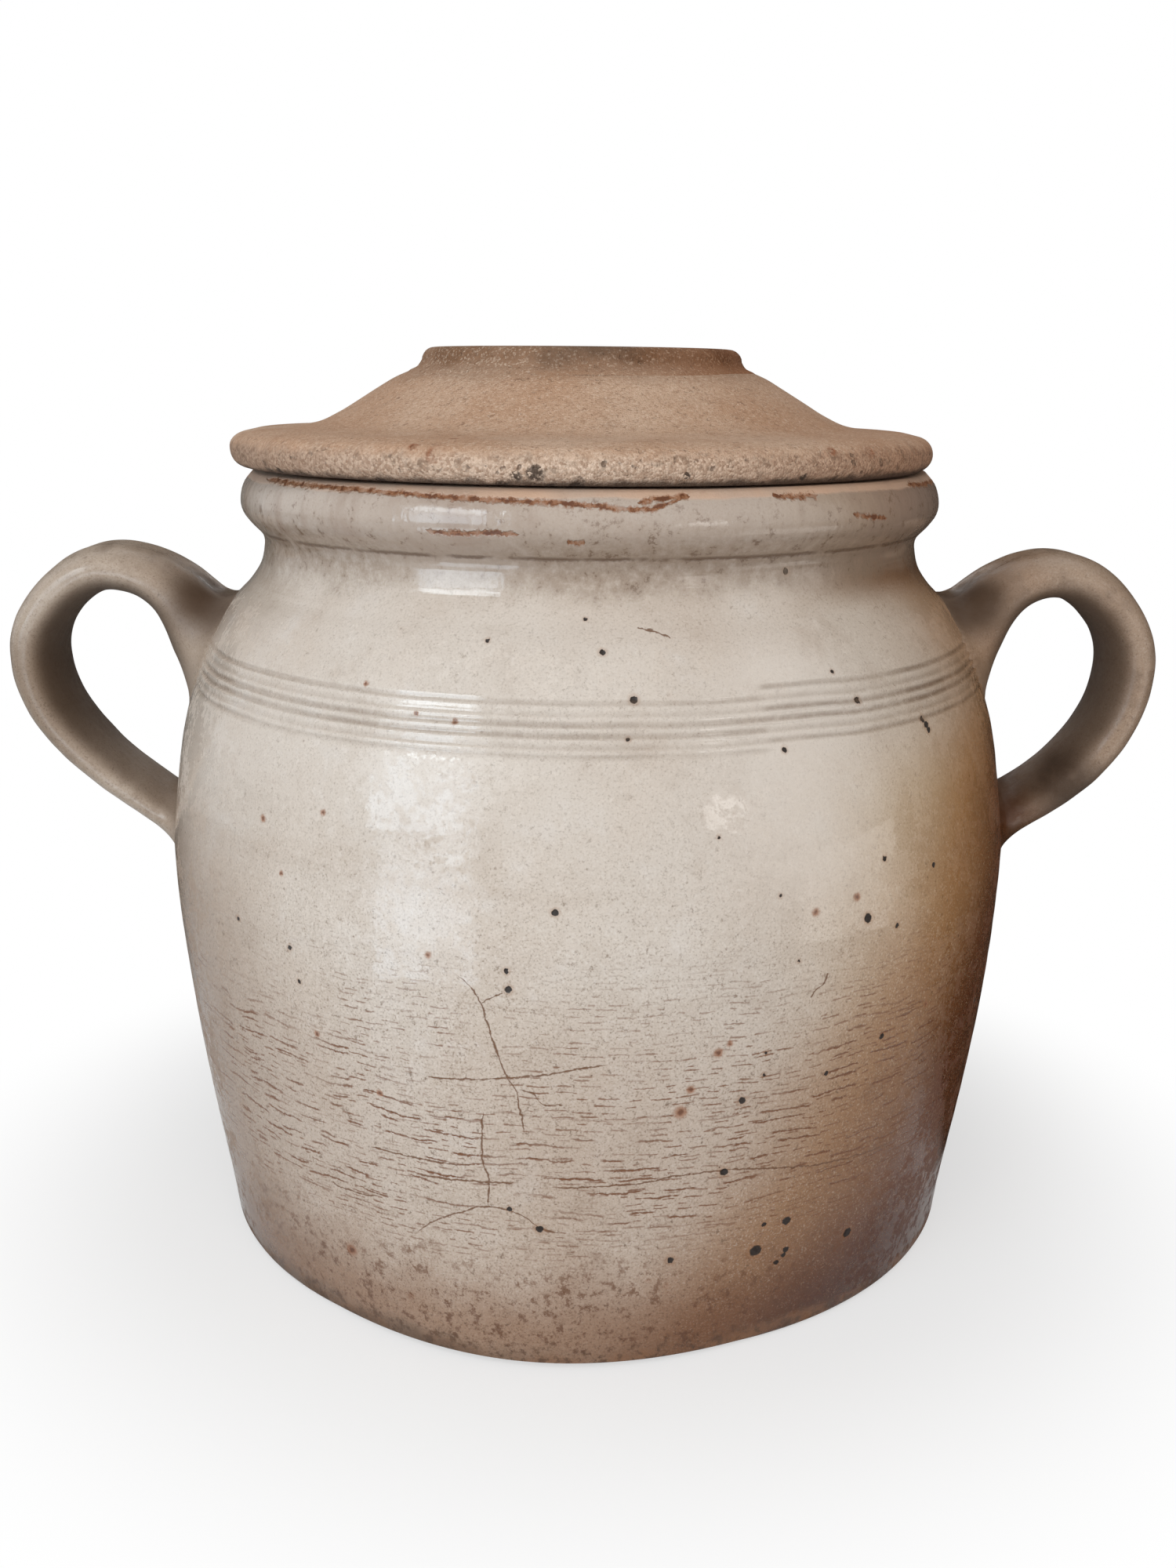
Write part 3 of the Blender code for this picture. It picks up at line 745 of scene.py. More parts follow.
def jar_finish(where):
    x, y, z = parts_of(where)
    down = z * -1
    aside = x / vector_of(x, y, 0.0).vector("LENGTH", out=1)
    # Browning of the right side, strongest at the far right edge and less on the lit shoulder:
    # partly flame toasting, partly painted shade.
    toasting_and_shade = (aside - (z * 5.0 - 0.1).least(0.58)) * 2.4 + aside.ramp(0.7, 1) * 0.5
    shoulder = z.ramp(0.13, 0.156) * z.ramp(COLLAR_LOW, 0.184)
    toasting_and_shade = toasting_and_shade.most(0).least(1.8) * (1 - shoulder * 0.45)
    glaze = use(stoneware_glaze, where, Toasting=toasting_and_shade, Specks=z.ramp(0.15, 0.07, 0.5, 1.1))
    washed = aside.bump(0.42, 0.24) * z.ramp(0.105, 0.125) * z.ramp(0.175, 0.165)
    # Painted shade: the belly darkens towards the foot, less on the left front.
    low = z.ramp(0.108, 0.06) * (1 - aside.bump(-0.3, 0.3) * 0.55)
    colour = layered(
        glaze,
        # Painted warm shade over the right side, less on the shoulder.
        (aside.ramp(0.3, 0.9) * (1 - shoulder * 0.85), (255, 240, 210), STAIN),
        # Painted shade on the right of the neck.
        (z.ramp(0.174, 0.183) * aside.ramp(0.4, 0.85), (176, 146, 118), STAIN),
        (washed * 0.5, (222, 211, 200)),
        # Painted shade towards the foot.
        (low * 0.42, (204, 180, 160), STAIN),
        (z.ramp(0.18, COLLAR_LOW) * (aside.bump(-0.34, 0.3) * 0.24 + 0.62), (166, 148, 134)),
        # Painted shade at the far left edge, low on the belly.
        ((aside * -1).ramp(0.55, 1) * z.ramp(0.135, 0.1), (192, 174, 158), STAIN),
    )

    gather = cloud(where, 26, 3, 0.6) + toasting_and_shade * 0.05
    clumps = cloud(where, 62, 3, 0.6).ramp(0.38, 0.58, 0.35, 1)
    short = use(crazing, where, **SHORT_DASHES)
    short = short * z.ramp(0.115, 0.08) * z.ramp(0.022, 0.036) * gather.ramp(0.34, 0.5) * clumps
    long = use(crazing, where, **LONG_DASHES)
    risen = z - aside.size().ramp(0.25, 0.6) * 0.02
    long = long * risen.ramp(0.074, 0.058) * z.ramp(0.03, 0.042) * gather.ramp(0.3, 0.5)
    long = long * clumps.ramp(0.1, 0.5, 0.35, 1)
    grime = cloud(where, 330, 4, 0.75)
    iron = use(firing_marks, where)
    rust = iron.other("Rust")
    groove = stored(where, "groove")
    in_groove = (groove * (0.48 + toasting_and_shade * 0.6)).least(1) * grime.ramp(0.2, 0.6, 0.5, 1)
    colour = layered(
        colour,
        (short * 0.85, (114, 70, 40)),
        (long * 0.95, (110, 66, 36)),
        (use(cracks, where, Width=CRACK_WIDTH) * 0.9, (104, 68, 42)),
        (band(where, down, -0.03, 0.012, 0.03, 45) * grime.ramp(0.52, 0.64) * 0.75, (112, 74, 46)),
        (iron.ramp(2.2, 0.9) * 0.35, (150, 104, 68)),
        (rust.ramp(1.7, 0.5) * 0.8, (146, 92, 56)),
        (rust.ramp(0.8, 0.3) * 0.8, (92, 54, 34)),
        (iron.ramp(1.08, 0.85) * 0.97, (26, 18, 14)),
        (in_groove, (108, 82, 58)),
    )

    waist = band(where, z, WAIST_TOP, 0.005, 0.012, 45) * z.ramp(0.2, COLLAR_LOW)
    waist = waist * (1 - aside.bump(-0.36, 0.3) * 0.6)
    seam = (z + (grime - 0.5) * 0.0012).bump(SEAM_HEIGHT, 0.0007)
    seam = seam * cloud(where, 80, 3, 0.6).ramp(0.36, 0.5)
    runs = cloud(where.vector("MULTIPLY", (1.0, 1.0, 0.25)), 130, 3, 0.6)
    collar_only = z.ramp(COLLAR_LOW, 0.193)
    rubbed = band(where, z, RUBBED_FROM, 0.0004, 0.002, 60)
    faded = cloud(where, 35, 3, 0.6).ramp(0.35, 0.65, 0.45, 0.95)
    chips = use(rim_chips, where, Width=CHIP_WIDTH)
    chipped_deep = chips.ramp(0.6, 1) * grime.ramp(0.48, 0.58)
    bare = band(where, down, -0.0036, 0.0016, 0.007, 70) * cloud(where, 60, 3, 0.6).ramp(0.34, 0.56)
    # Soot along the foot, also used for a painted contact shadow.
    soot_and_contact_shadow = band(where, down, -0.0045, 0.0035, 0.008, 90)
    colour = layered(
        colour,
        (waist * grime.ramp(0.3, 0.6, 0.35, 0.95) * 0.85, (140, 120, 102)),
        (waist * grime.ramp(0.58, 0.68) * 0.6, (96, 70, 50)),
        (seam * 0.75, (88, 62, 44)),
        (collar_only * runs.ramp(0.5, 0.7) * 0.5, (150, 128, 112)),
        (collar_only * grime.ramp(0.56, 0.68) * 0.45, (104, 76, 56)),
        (rubbed * faded, (204, 168, 142)),
        (chips * grime.ramp(0.3, 0.55, 0.4, 1), (136, 86, 50)),
        (chipped_deep * 0.85, (86, 46, 24)),
        # Painted shade: the glaze darkens towards the foot.
        (band(where, down, -0.022, 0.016, 0.022, 60) * 0.8, (184, 152, 126), STAIN),
        (bare * 0.8, (136, 96, 68)),
        # Painted contact shadow along the foot, darkest on the left.
        (soot_and_contact_shadow * aside.ramp(0, -0.4, 0.25, 1) * 0.8, (84, 64, 48)),
        (soot_and_contact_shadow * grime.ramp(0.48, 0.6) * 0.75, (76, 54, 38)),
    )

    worn = (rubbed * 0.7 + bare + chips).least(1)
    dull = glaze.other("Dullness").ramp(0.46, 0.57) * z.ramp(0.168, 0.178, 1, 0.3)
    roughness = 0.055 + dull * 0.38 + waist * 0.04 + toasting_and_shade * 0.04
    roughness = roughness + worn * 0.4 + rust.ramp(1.5, 0.4) * 0.2 + iron.ramp(1.3, 0.9) * 0.55
    relief = glaze.other("Relief") + dull * 0.03 - long * 0.25 - short * 0.1 - chips * 0.9
    relief = relief - seam * 0.5 - iron.ramp(1.1, 0.5) * 0.6 - rust.ramp(1.2, 0.5) * 0.3
    relief = relief + z.ramp(0.185, 0.192) * (runs * 1.3 + grime * 0.25)
    wiped = cloud(where.vector("MULTIPLY", (14.0, 14.0, 900.0)), 1, 3, 0.55)
    relief = relief + wiped * z.bump(0.178, 0.014) * 0.25
    relief = relief + worn * cloud(where, 1700, 3, 0.7) * 0.35
    return colour, roughness, relief, GLAZE_RELIEF


jar_glaze = finish_material("jar_glaze", jar_finish, 0.45)

# %% [markdown]
# Now the jar itself. The wall is closed into one outline: up the outside, over
# the lip and down the inside. Rows lie close together where the comb cut, about
# a fifth of a millimetre, and further apart where the wall is plain.

# %% Turn the jar
COMB_LOW, COMB_HIGH = 0.1485, 0.1650
JAR_STEPS, GUIDE_STEPS = 272, 136
up_wall = outer_wall[:, 1]
below, above = outer_wall[up_wall < COMB_LOW], outer_wall[up_wall > COMB_HIGH]
combed = outer_wall[(up_wall >= COMB_LOW) & (up_wall <= COMB_HIGH)]
neck_line = outer_wall[up_wall < NECK_HEIGHT]
tangents = np.gradient(neck_line, axis=0)
sides = np.c_[-tangents[:, 1], tangents[:, 0]] / np.linalg.norm(tangents, axis=1)[:, None]
inner_wall = neck_line + sides * WALL
inner_wall = inner_wall[inner_wall[:, 1] > FLOOR + 2 * FLOOR_ROUND]
corner = (inner_wall[0, 0] - 0.0012 - FLOOR_ROUND, FLOOR + FLOOR_ROUND)

foot_side = arc((FOOT_RADIUS - FOOT_ROUND, FOOT_ROUND), FOOT_ROUND, -90, 0, 5)
outside = joined(
    spaced([(0, 0), (FOOT_RADIUS - FOOT_ROUND, 0)], 0.009), foot_side, spaced(below, 0.00135),
    spaced(combed, 0.00022), spaced(above, 0.00095),
)
inside = joined(
    arc((MOUTH_RADIUS + LIP_ROUND, POT_HEIGHT - LIP_ROUND), LIP_ROUND, 90, 180, 5),
    spaced([(MOUTH_RADIUS, POT_HEIGHT - LIP_ROUND), (MOUTH_RADIUS, NECK_HEIGHT)], 0.0025),
    spaced(inner_wall[::-1], 0.0036), arc(corner, FLOOR_ROUND, 0, -90, 6),
    spaced([(corner[0], FLOOR), (0, FLOOR)], 0.009),
)
outline = joined(outside, inside)
is_outer = np.arange(len(outline)) < len(outside)
lift = outline[:, 1]
hands = np.interp(lift, (0.0005, 0.012, 0.19, 0.2), (0, 1, 1, 0.35)) * np.where(is_outer, 1, 0.8)
comb = np.where(is_outer, np.interp(lift, (COMB_LOW, COMB_LOW + 0.001), (0, 1)), 0)
JAR_HANDS = {
    "Settling": 0.0009, "Settling_size": 0.09, "Oval": 0.0003, "Ring_depth": 0.00003,
    "Ring_pitch": 0.0085, "Comb_top": 0.1634, "Comb_pitch": 0.00222, "Comb_turns": 6.0,
    "Comb_start": 0.06, "Comb_depth": 0.00048, "Slump": 0.0038, "Slump_turn": 0.98, "Seed": 0.7,
}
jar = turn_piece("jar", outline, JAR_STEPS, jar_glaze, hands, comb, **JAR_HANDS)
print("jar outline has", len(outline), "rows")

# %% [markdown]
# A pulled handle is a strap of clay, thumbed onto the wall while both are soft.
# It keeps the marks of that: it swells where it joins, its top root spreads into
# a tongue, a thumb left a hollow there, and a shallow channel runs down its back.
# Loops like this are swept: an oval ring travels along the middle line, and the
# rings near the wall flare to meet it in a round fillet. A root ends inside the
# clay of the wall, never deeper than half of it, so none shows inside the jar. The
# flare is measured from the same jar turned once more without its combed lines,
# which would notch it, and from its outer faces alone.

# %% Sweep and flare the handles
STRAP_RINGS, STRAP_SIDES, STATION_STEPS, SMOOTHING_RINGS = 230, 56, 40, 10
CHANNEL_DEPTH, CHANNEL_WIDTH, FILLET, FLARE_TRIES = 0.00055, 0.36, 0.0075, 3
FLAT_ACROSS, FLAT_THROUGH, DEEPEST = 0.86, 0.92, -WALL / 2
LUMPS_PER_METRE, LUMP_HEIGHT, FINE_LUMP_HEIGHT = 60, 0.00035, 0.0001
JAR_HANDS["Comb_depth"] = 0.0
guide = turn_piece("guide", outline, GUIDE_STEPS, jar_glaze, hands, comb, **JAR_HANDS)
outer_faces = [tuple(face.vertices) for face in guide.data.polygons
               if face.normal.xy.dot(face.center.xy) > 0]
jar_surface = BVHTree.FromPolygons([v.co.copy() for v in guide.data.vertices], outer_faces)
bpy.data.meshes.remove(guide.data)


def from_wall(point):
    """How far a point is outside the jar's wall, and the way out there."""
    near, normal, _, _ = jar_surface.find_nearest(point)
    return (point - near).dot(normal), normal


def flare(middle, point):
    """The point pushed sideways near the wall, and never deeper than half its clay."""
    away, normal = from_wall(point)
    if away >= FILLET:
        return point
    spread = FILLET - math.sqrt(max(FILLET**2 - (FILLET - max(away, 0)) ** 2, 0))
    side = point - middle
    side = (side - normal * side.dot(normal)).normalized()
    moved = point + side * spread
    for _ in range(FLARE_TRIES):
        now, normal = from_wall(moved)
        moved = moved + normal * (max(away, DEEPEST) - now)
    return moved


def strap_ring(middle, outwards, thick, width, dent):
    """Points of one oval ring, each with how far it faces in and how deep its hollow is."""
    for step in range(STRAP_SIDES):
        angle = 2 * math.pi * step / STRAP_SIDES
        c, s = math.cos(angle), math.sin(angle)
        across = math.copysign(abs(c) ** FLAT_ACROSS, c) * width
        through = math.copysign(abs(s) ** FLAT_THROUGH, s) * thick
        channel = math.exp(-((across / (CHANNEL_WIDTH * width)) ** 2))
        through -= channel * (CHANNEL_DEPTH + dent) * max(s, 0)
        point = middle + outwards * through + Vector((0, across, 0))
        yield middle, point, max(-s, 0), channel * dent * 1000 * max(s, 0)


def sweep_handle(name, side, stations, material, seed):
    """One strap through stations of (out, up, half thickness, half width, dent) in mm."""
    rows = spaced(smooth(np.array(stations) / 1000, STATION_STEPS), count=STRAP_RINGS)
    weights = np.exp(-(np.linspace(-2.2, 2.2, 2 * SMOOTHING_RINGS + 1) ** 2) / 2)
    weights /= weights.sum()
    margins = ((SMOOTHING_RINGS, SMOOTHING_RINGS), (0, 0))
    padded = np.pad(rows, margins, mode="reflect", reflect_type="odd")
    rows = np.c_[tuple(np.convolve(column, weights, "valid") for column in padded.T)]
    along = np.gradient(rows[:, :2], axis=0)
    along /= np.linalg.norm(along, axis=1)[:, None]
    rings = [list(strap_ring(Vector((side * out, 0, up)), Vector((-dz * side, 0, dx)), *sizes))
             for (out, up, *sizes), (dx, dz) in zip(rows, along)]
    buried = [max(from_wall(point)[0] for _, point, _, _ in ring) < DEEPEST for ring in rings]
    half = len(rings) // 2
    first = max((i for i in range(half) if buried[i]), default=0)
    last = min((i for i in range(half, len(rings)) if buried[i]), default=len(rings) - 1)
    rings = rings[first:last + 1]
    middles, points, inner, hollow = zip(*(item for ring in rings for item in ring))
    points = [flare(middle, point) for middle, point in zip(middles, points)]
    count = STRAP_SIDES
    faces = [
        (ring + step, ring + (step + 1) % count, ring + count + (step + 1) % count,
         ring + count + step)
        for ring in range(0, (len(rings) - 1) * count, count) for step in range(count)
    ]
    faces += [tuple(range(count)), tuple(range((len(rings) - 1) * count, len(rings) * count))]
    mesh = bpy.data.meshes.new(name)
    mesh.from_pydata([tuple(point) for point in points], [], faces)
    work = bmesh.new()
    work.from_mesh(mesh)
    bmesh.ops.recalc_face_normals(work, faces=work.faces)
    for vertex in work.verts:
        spot = vertex.co * LUMPS_PER_METRE + Vector((seed, 0, 0))
        lump = noise.noise(spot) * LUMP_HEIGHT + noise.noise(spot * 3.1) * FINE_LUMP_HEIGHT
        vertex.co += vertex.normal * lump
    work.to_mesh(mesh)
    work.free()
    store(mesh, inner=inner, hollow=hollow)
    mesh.shade_smooth()
    mesh.materials.append(material)
    nearest = min(point.xy.length for point in points)
    print(name, "reaches in to radius", round(nearest * 1000, 1), "mm")
    return finished(name, mesh)


# %% [markdown]
# The handles have the jar's glaze, but it runs thin on a strap. Shade is painted
# in where it faces the loop, in the thumb's hollow and the hollow at the top
# root, close to the wall and on the right handle's lower limb, and the right
# handle is browner, partly from toasting and partly painted shade. The sweep left
# two numbers on each point for the loop and the thumb's hollow: how far it faces
# inwards, and how deep the hollow is.


# %% The handles' glaze
SMUDGE_SPOT, RUSTY_SPOT = (0.131, -0.01, 0.1205), (0.1535, -0.004, 0.148)
HOLLOW_OUT, HOLLOW_FRONT, HOLLOW_UP = 0.1018, 0.017, 0.1712


def handle_finish(where):
    def near_spot(spot, unevenness):
        return where.vector("DISTANCE", spot, out=1) + uneven * unevenness

    x, y, z = parts_of(where)
    out = x.size()
    uneven = cloud(where, 36, 3, 0.6) - 0.5
    # Browning of the right handle: partly flame toasting, partly painted shade.
    toasting_and_shade = (x * 3.5 + 0.45).ramp(0, 1) * 0.42
    glaze = use(stoneware_glaze, where, Toasting=toasting_and_shade, Specks=0.7)
    facing_in, thumbed = stored(where, "inner"), stored(where, "hollow")
    right_side = (x * 40).ramp(0, 1)
    strap = (out + uneven * 0.02).ramp(0.098, 0.118)
    tip = (x * -1).ramp(0.128, 0.15) * z.ramp(0.17, 0.15)
    # Painted shade on the faces towards the loop.
    shaded = (facing_in + uneven * 0.5).ramp(0.1, 0.75) * strap
    shaded = shaded * (z + uneven * 0.02).ramp(0.112, 0.138, 0.4, 1)
    # Painted shade in the thumb's hollow.
    thumb_hollow_shade = (thumbed + uneven * 0.5).ramp(0.15, 0.8)
    # Painted shade on the handle close to the wall, stronger low down.
    near = (out + uneven * 0.02).ramp(0.126, 0.106) * z.ramp(0.12, 0.14, 1, 0.6)
    # Painted shade on the right handle's lower limb, next to the wall.
    lower_limb_shade = (x + uneven * 0.02).ramp(0.134, 0.118) * z.ramp(0.124, 0.112)
    smudged = near_spot(SMUDGE_SPOT, 0.014).ramp(0.016, 0.004)
    # Painted shade in the hollow at the top root.
    beside = vector_of((out - HOLLOW_OUT) * 0.9, (y + HOLLOW_FRONT) * 0.7, z - HOLLOW_UP)
    root_hollow_shade = (beside.vector("LENGTH", out=1) + uneven * 0.008).ramp(0.0145, 0.004)
    streaks = cloud(where.vector("MULTIPLY", (1.0, 0.3, 1.0)), 120, 3, 0.6)
    rusty = near_spot(RUSTY_SPOT, 0.004).ramp(0.006, 0.002)
    colour = layered(
        glaze,
        (strap * 0.9, (214, 204, 194), STAIN),
        (tip * 0.9, (200, 190, 180), STAIN),
        (shaded * (x * 40).ramp(0, 1, 0.79, 0.7), (70, 54, 41)),
        (thumb_hollow_shade * 0.75, (84, 66, 50)),
        # Painted shade close to the wall on the right handle.
        (near * right_side, (212, 186, 158), STAIN),
        (lower_limb_shade * right_side, (150, 116, 86), STAIN),
        (smudged * 0.85, (60, 44, 32)),
        # Painted shade close to the wall on the left handle.
        (near * (x * 40).ramp(0, -1), (180, 162, 144), STAIN),
        (root_hollow_shade * 0.95, (74, 55, 40)),
        (streaks.ramp(0.5, 0.72) * strap * 0.45, (112, 92, 76)),
        (rusty * 0.7, (150, 92, 56)),
    )
    rough = glaze.other("Dullness").ramp(0.42, 0.6, 0.24, 0.4) + shaded * 0.3
    rough = rough + root_hollow_shade.most(smudged) * 0.35
    return colour, rough, glaze.other("Relief") + streaks * 0.25, 0.0003


handle_glaze = finish_material("handle_glaze", handle_finish, 0.35)

# %% Make both handles
LEFT_STRAP = (
    (86.0, 142.0, 12.5, 19.0, 0), (94.0, 149.0, 13.0, 19.5, 0.8), (100.5, 155.0, 12.4, 19.0, 1.5),
    (105.6, 162.0, 10.2, 17.8, 1.4), (110.9, 169.2, 8.0, 16.6, 0.7), (118.5, 175.4, 6.8, 15.8, 0.1),
    (130.2, 178.2, 6.4, 15.5, 0), (138.5, 175.2, 6.3, 15.5, 0), (145.2, 169.6, 6.3, 15.5, 0),
    (150.4, 162.0, 6.4, 15.5, 0), (152.2, 153.6, 6.4, 15.5, 0), (150.2, 142.8, 6.2, 15.2, 0),
    (145.9, 134.6, 5.9, 15.0, 0), (139.9, 127.6, 5.6, 14.8, 0), (132.1, 120.3, 5.2, 14.4, 0),
    (124.7, 114.6, 4.9, 14.3, 0), (117.0, 108.8, 4.9, 14.6, 0), (106.0, 101.0, 4.9, 14.8, 0),
)
RIGHT_STRAP = (
    (86.0, 142.5, 12.0, 19.0, 0), (93.5, 149.0, 12.4, 19.5, 0.8), (99.6, 155.6, 11.8, 19.0, 1.5),
    (104.6, 162.6, 9.8, 17.8, 1.4), (110.0, 169.4, 7.9, 16.6, 0.8), (117.0, 174.6, 6.8, 15.8, 0.1),
    (125.5, 177.0, 6.5, 15.5, 0), (133.8, 175.2, 6.5, 15.5, 0), (140.9, 170.0, 6.5, 15.5, 0),
    (146.4, 162.6, 6.5, 15.5, 0), (148.9, 153.6, 6.5, 15.5, 0), (147.4, 142.0, 6.4, 15.2, 0),
    (143.0, 132.0, 6.35, 15.0, 0), (136.4, 123.8, 6.3, 14.9, 0), (129.2, 117.4, 6.0, 14.6, 0),
    (122.4, 112.6, 5.8, 14.6, 0), (116.0, 108.6, 5.6, 14.8, 0), (106.0, 102.0, 5.4, 15.0, 0),
)
left_handle = sweep_handle("strap_left", -1, LEFT_STRAP, handle_glaze, 3.0)
right_handle = sweep_handle("strap_right", 1, RIGHT_STRAP, handle_glaze, 11.0)

# %% [markdown]
# The lid was thrown from a coarser clay and never glazed. Its cone is sandy and
# warm in colour, its brim is paler and open where the sand tore as it was cut
# from the wheel, and hands have darkened the crown on top. The cover has a flange
# below, which drops into the mouth and keeps the lid from sliding off.


# %% Clay shared by cover and crown
def bare_clay(where, darkened):
    """Colour and sand of the unglazed clay, darker where the mask says."""
    x, _, _ = parts_of(where)
    sand = use(sandy_grain, where, Grains=2100)
    patches = cloud(where, 95, 4, 0.7)
    return layered(
        (186, 148, 120),
        (cloud(where, 22, 4, 0.62).ramp(0.3, 0.7), (203, 173, 149)),
        ((x * 6).ramp(0.05, 0.75) * 0.6, (168, 124, 92)),
        # Painted shade: browner towards the right side.
        (patches.ramp(0.54, 0.75) * 0.4, (146, 112, 88)),
        (patches.ramp(0.42, 0.25) * 0.3, (208, 182, 160)),
        (darkened, (122, 90, 66)),
        (sand.ramp(0.5, 0.8) * 0.5, (150, 112, 84)),
        (sand.ramp(0.42, 0.18) * 0.5, (222, 198, 176)),
        (cloud(where, 420, 4, 0.75).ramp(0.6, 0.7) * 0.6, (112, 80, 58)),
    ), sand


# %% The cover's clay
SEAT_HEIGHT, CROWN_SEAT = POT_HEIGHT + 0.0005, POT_HEIGHT + 0.0245


def lid_finish(where):
    x, y, z = parts_of(where)
    down = z * -1
    radius = vector_of(x, y, 0.0).vector("LENGTH", out=1)
    handled = band(where, z, SEAT_HEIGHT + 0.0225, 0.0026, 0.005, 90)
    colour, sand = bare_clay(where, handled * 0.5)
    coarse = use(sandy_grain, where, Grains=1700)
    torn = band(where, down, -0.0068 - SEAT_HEIGHT, 0.0016, 0.004, 200) * radius.ramp(0.084, 0.089)
    soot = band(where, down, -0.0014 - SEAT_HEIGHT, 0.0009, 0.003, 240) * radius.ramp(0.082, 0.086)
    rim_tone = layered(
        (226, 200, 178),
        (coarse.ramp(0.2, 0.8), (170, 140, 118)),
        # Painted shade on the right of the torn edge.
        ((x * 8).ramp(0, 0.7) * 0.78, (172, 130, 94), STAIN),
        ((x * -8).ramp(0.1, 0.75) * 0.8, (178, 162, 150), STAIN),
    )
    dirt = cloud(where, 260, 4, 0.75)
    rusty = use(iron_specks, where, Spacing=0.026, Radius=0.0016, Share=0.35)
    pit = use(lid_marks, where)
    rust = pit.other("Rust")
    pitted = pit.ramp(1.35, 0.7) * coarse.ramp(0.25, 0.5)
    colour = layered(
        colour,
        (torn * 0.85, rim_tone),
        (torn * dirt.ramp(0.5, 0.7) * 0.6, (112, 90, 72)),
        (torn * coarse.other("Pits") * 0.55, (74, 54, 40)),
        (soot * 0.85, (60, 46, 36)),
        (rusty.other("Halo") * 0.45, (134, 80, 50)),
        (rusty * 0.6, (88, 58, 40)),
        (rust.ramp(1.5, 0.6) * dirt.ramp(0.35, 0.6) * 0.8, (140, 82, 48)),
        (rust.ramp(0.8, 0.3) * dirt.ramp(0.4, 0.6) * 0.7, (88, 50, 32)),
        (pitted * 0.85, (52, 40, 32)),
    )
    relief = sand.other("Height") * (1 - torn * 0.6) + coarse.other("Height") * torn * 1.6
    relief = relief + cloud(where, 260, 3, 0.6) * 0.9 - pitted * 2 - rust.ramp(1, 0.4) * 0.8
    return colour, 0.92 - sand * 0.08, relief, 0.00032


lid_clay = finish_material("lid_clay", lid_finish, 0.25)


# %% The crown's clay
def crown_finish(where):
    x, y, z = parts_of(where)
    handled = band(where, z, CROWN_SEAT + 0.0018, 0.0024, 0.005, 90)
    grip = cloud(where, 60, 3, 0.6)
    darkened = 0.5 + handled * (0.25 + grip.ramp(0.35, 0.65) * 0.3)
    colour, sand = bare_clay(where, darkened)
    held = (grip * 0.6 + (x + 0.002).bump(0, 0.026) * 0.4).ramp(0.4, 0.7) * y.ramp(0, -0.02)
    colour = layered(
        colour,
        # Painted shade: warmer and darker on the right.
        ((x * 8 + 0.1).ramp(0, 0.6), (212, 170, 128), STAIN),
        (held * handled * 0.6, (84, 68, 56)),
    )
    relief = sand.other("Height") + cloud(where, 300, 3, 0.6) * 0.9
    return colour, 0.9 - sand * 0.06, relief, 0.0003


crown_clay = finish_material("crown_clay", crown_finish, 0.25)

# %% [markdown]
# Both pieces of the lid are turned with the same tree as the jar. They are made
# upright on their own axis, then moved to where the solid lies, a little to the
# left in the mouth. Lid and rim are hand made and don't quite match, so the lid
# rests on the right side and stands a millimetre high on the left.

# %% Turn the cover
COVER_STEPS, CROWN_STEPS = 280, 240
BRIM_RADIUS, BRIM_THICKNESS, BRIM_UNDERCUT = NECK_RADIUS + 0.0053, 0.0086, 0.0032
COVER_RISE, COVER_WALL = 0.0240, 0.0078
FLANGE_RADIUS, FLANGE_DROP, FLANGE_WALL = MOUTH_RADIUS - 0.003, 0.008, 0.0065
CROWN_RADIUS, CROWN_HEIGHT, CROWN_TAPER = 0.0456, 0.0062, 0.0032
CROWN_ROUND, CROWN_RING_WIDTH, CROWN_HOLLOW_TAPER = 0.0016, 0.0105, 0.0025
COVER_SHARES = ((0, 1), (0.075, 0.9), (0.16, 0.75), (0.28, 0.53), (0.4, 0.31), (0.52, 0.15),
                (0.68, 0.08), (0.85, 0.05))
DOME_SHARES = ((0.99, 0.28), (0.93, 0.53), (0.79, 0.75), (0.61, 0.94), (0.43, 1), (0, 1))

flange_inside = FLANGE_RADIUS - FLANGE_WALL
dome_height = COVER_RISE - COVER_WALL + FLANGE_DROP
dome = smooth([(flange_inside, -FLANGE_DROP + 0.0015)] + [
    (flange_inside * out, dome_height * up - FLANGE_DROP) for out, up in DOME_SHARES], 10)
half = BRIM_THICKNESS / 2
brim = arc((BRIM_RADIUS - half, half), half, -80, 75, 14)
cone = smooth([(mix(CROWN_RADIUS, BRIM_RADIUS, out), mix(BRIM_THICKNESS, COVER_RISE, up))
               for out, up in COVER_SHARES], 10)
quarter = FLANGE_WALL / 4
cover_outline = joined(
    spaced(dome[::-1], 0.003),
    arc((flange_inside + quarter, quarter - FLANGE_DROP), quarter, 180, 270, 4),
    arc((FLANGE_RADIUS - quarter, quarter - FLANGE_DROP), quarter, 270, 360, 4),
    spaced([(FLANGE_RADIUS, quarter - FLANGE_DROP), (FLANGE_RADIUS, 0)], 0.002),
    spaced([(FLANGE_RADIUS, 0), (BRIM_RADIUS - half - BRIM_UNDERCUT / 2, 0), brim[0]], 0.0012),
    spaced(brim, 0.0007), spaced([brim[-1], cone[-1]], 0.001), spaced(cone[::-1], 0.0011),
    spaced([(CROWN_RADIUS, COVER_RISE), (0, COVER_RISE)], 0.005),
)
cover = turn_piece(
    "cover", cover_outline, COVER_STEPS, lid_clay, Settling=0.0006, Settling_size=0.045,
    Oval=0.0002, Ring_depth=0.00012, Ring_pitch=0.0062, Seed=5.2,
)

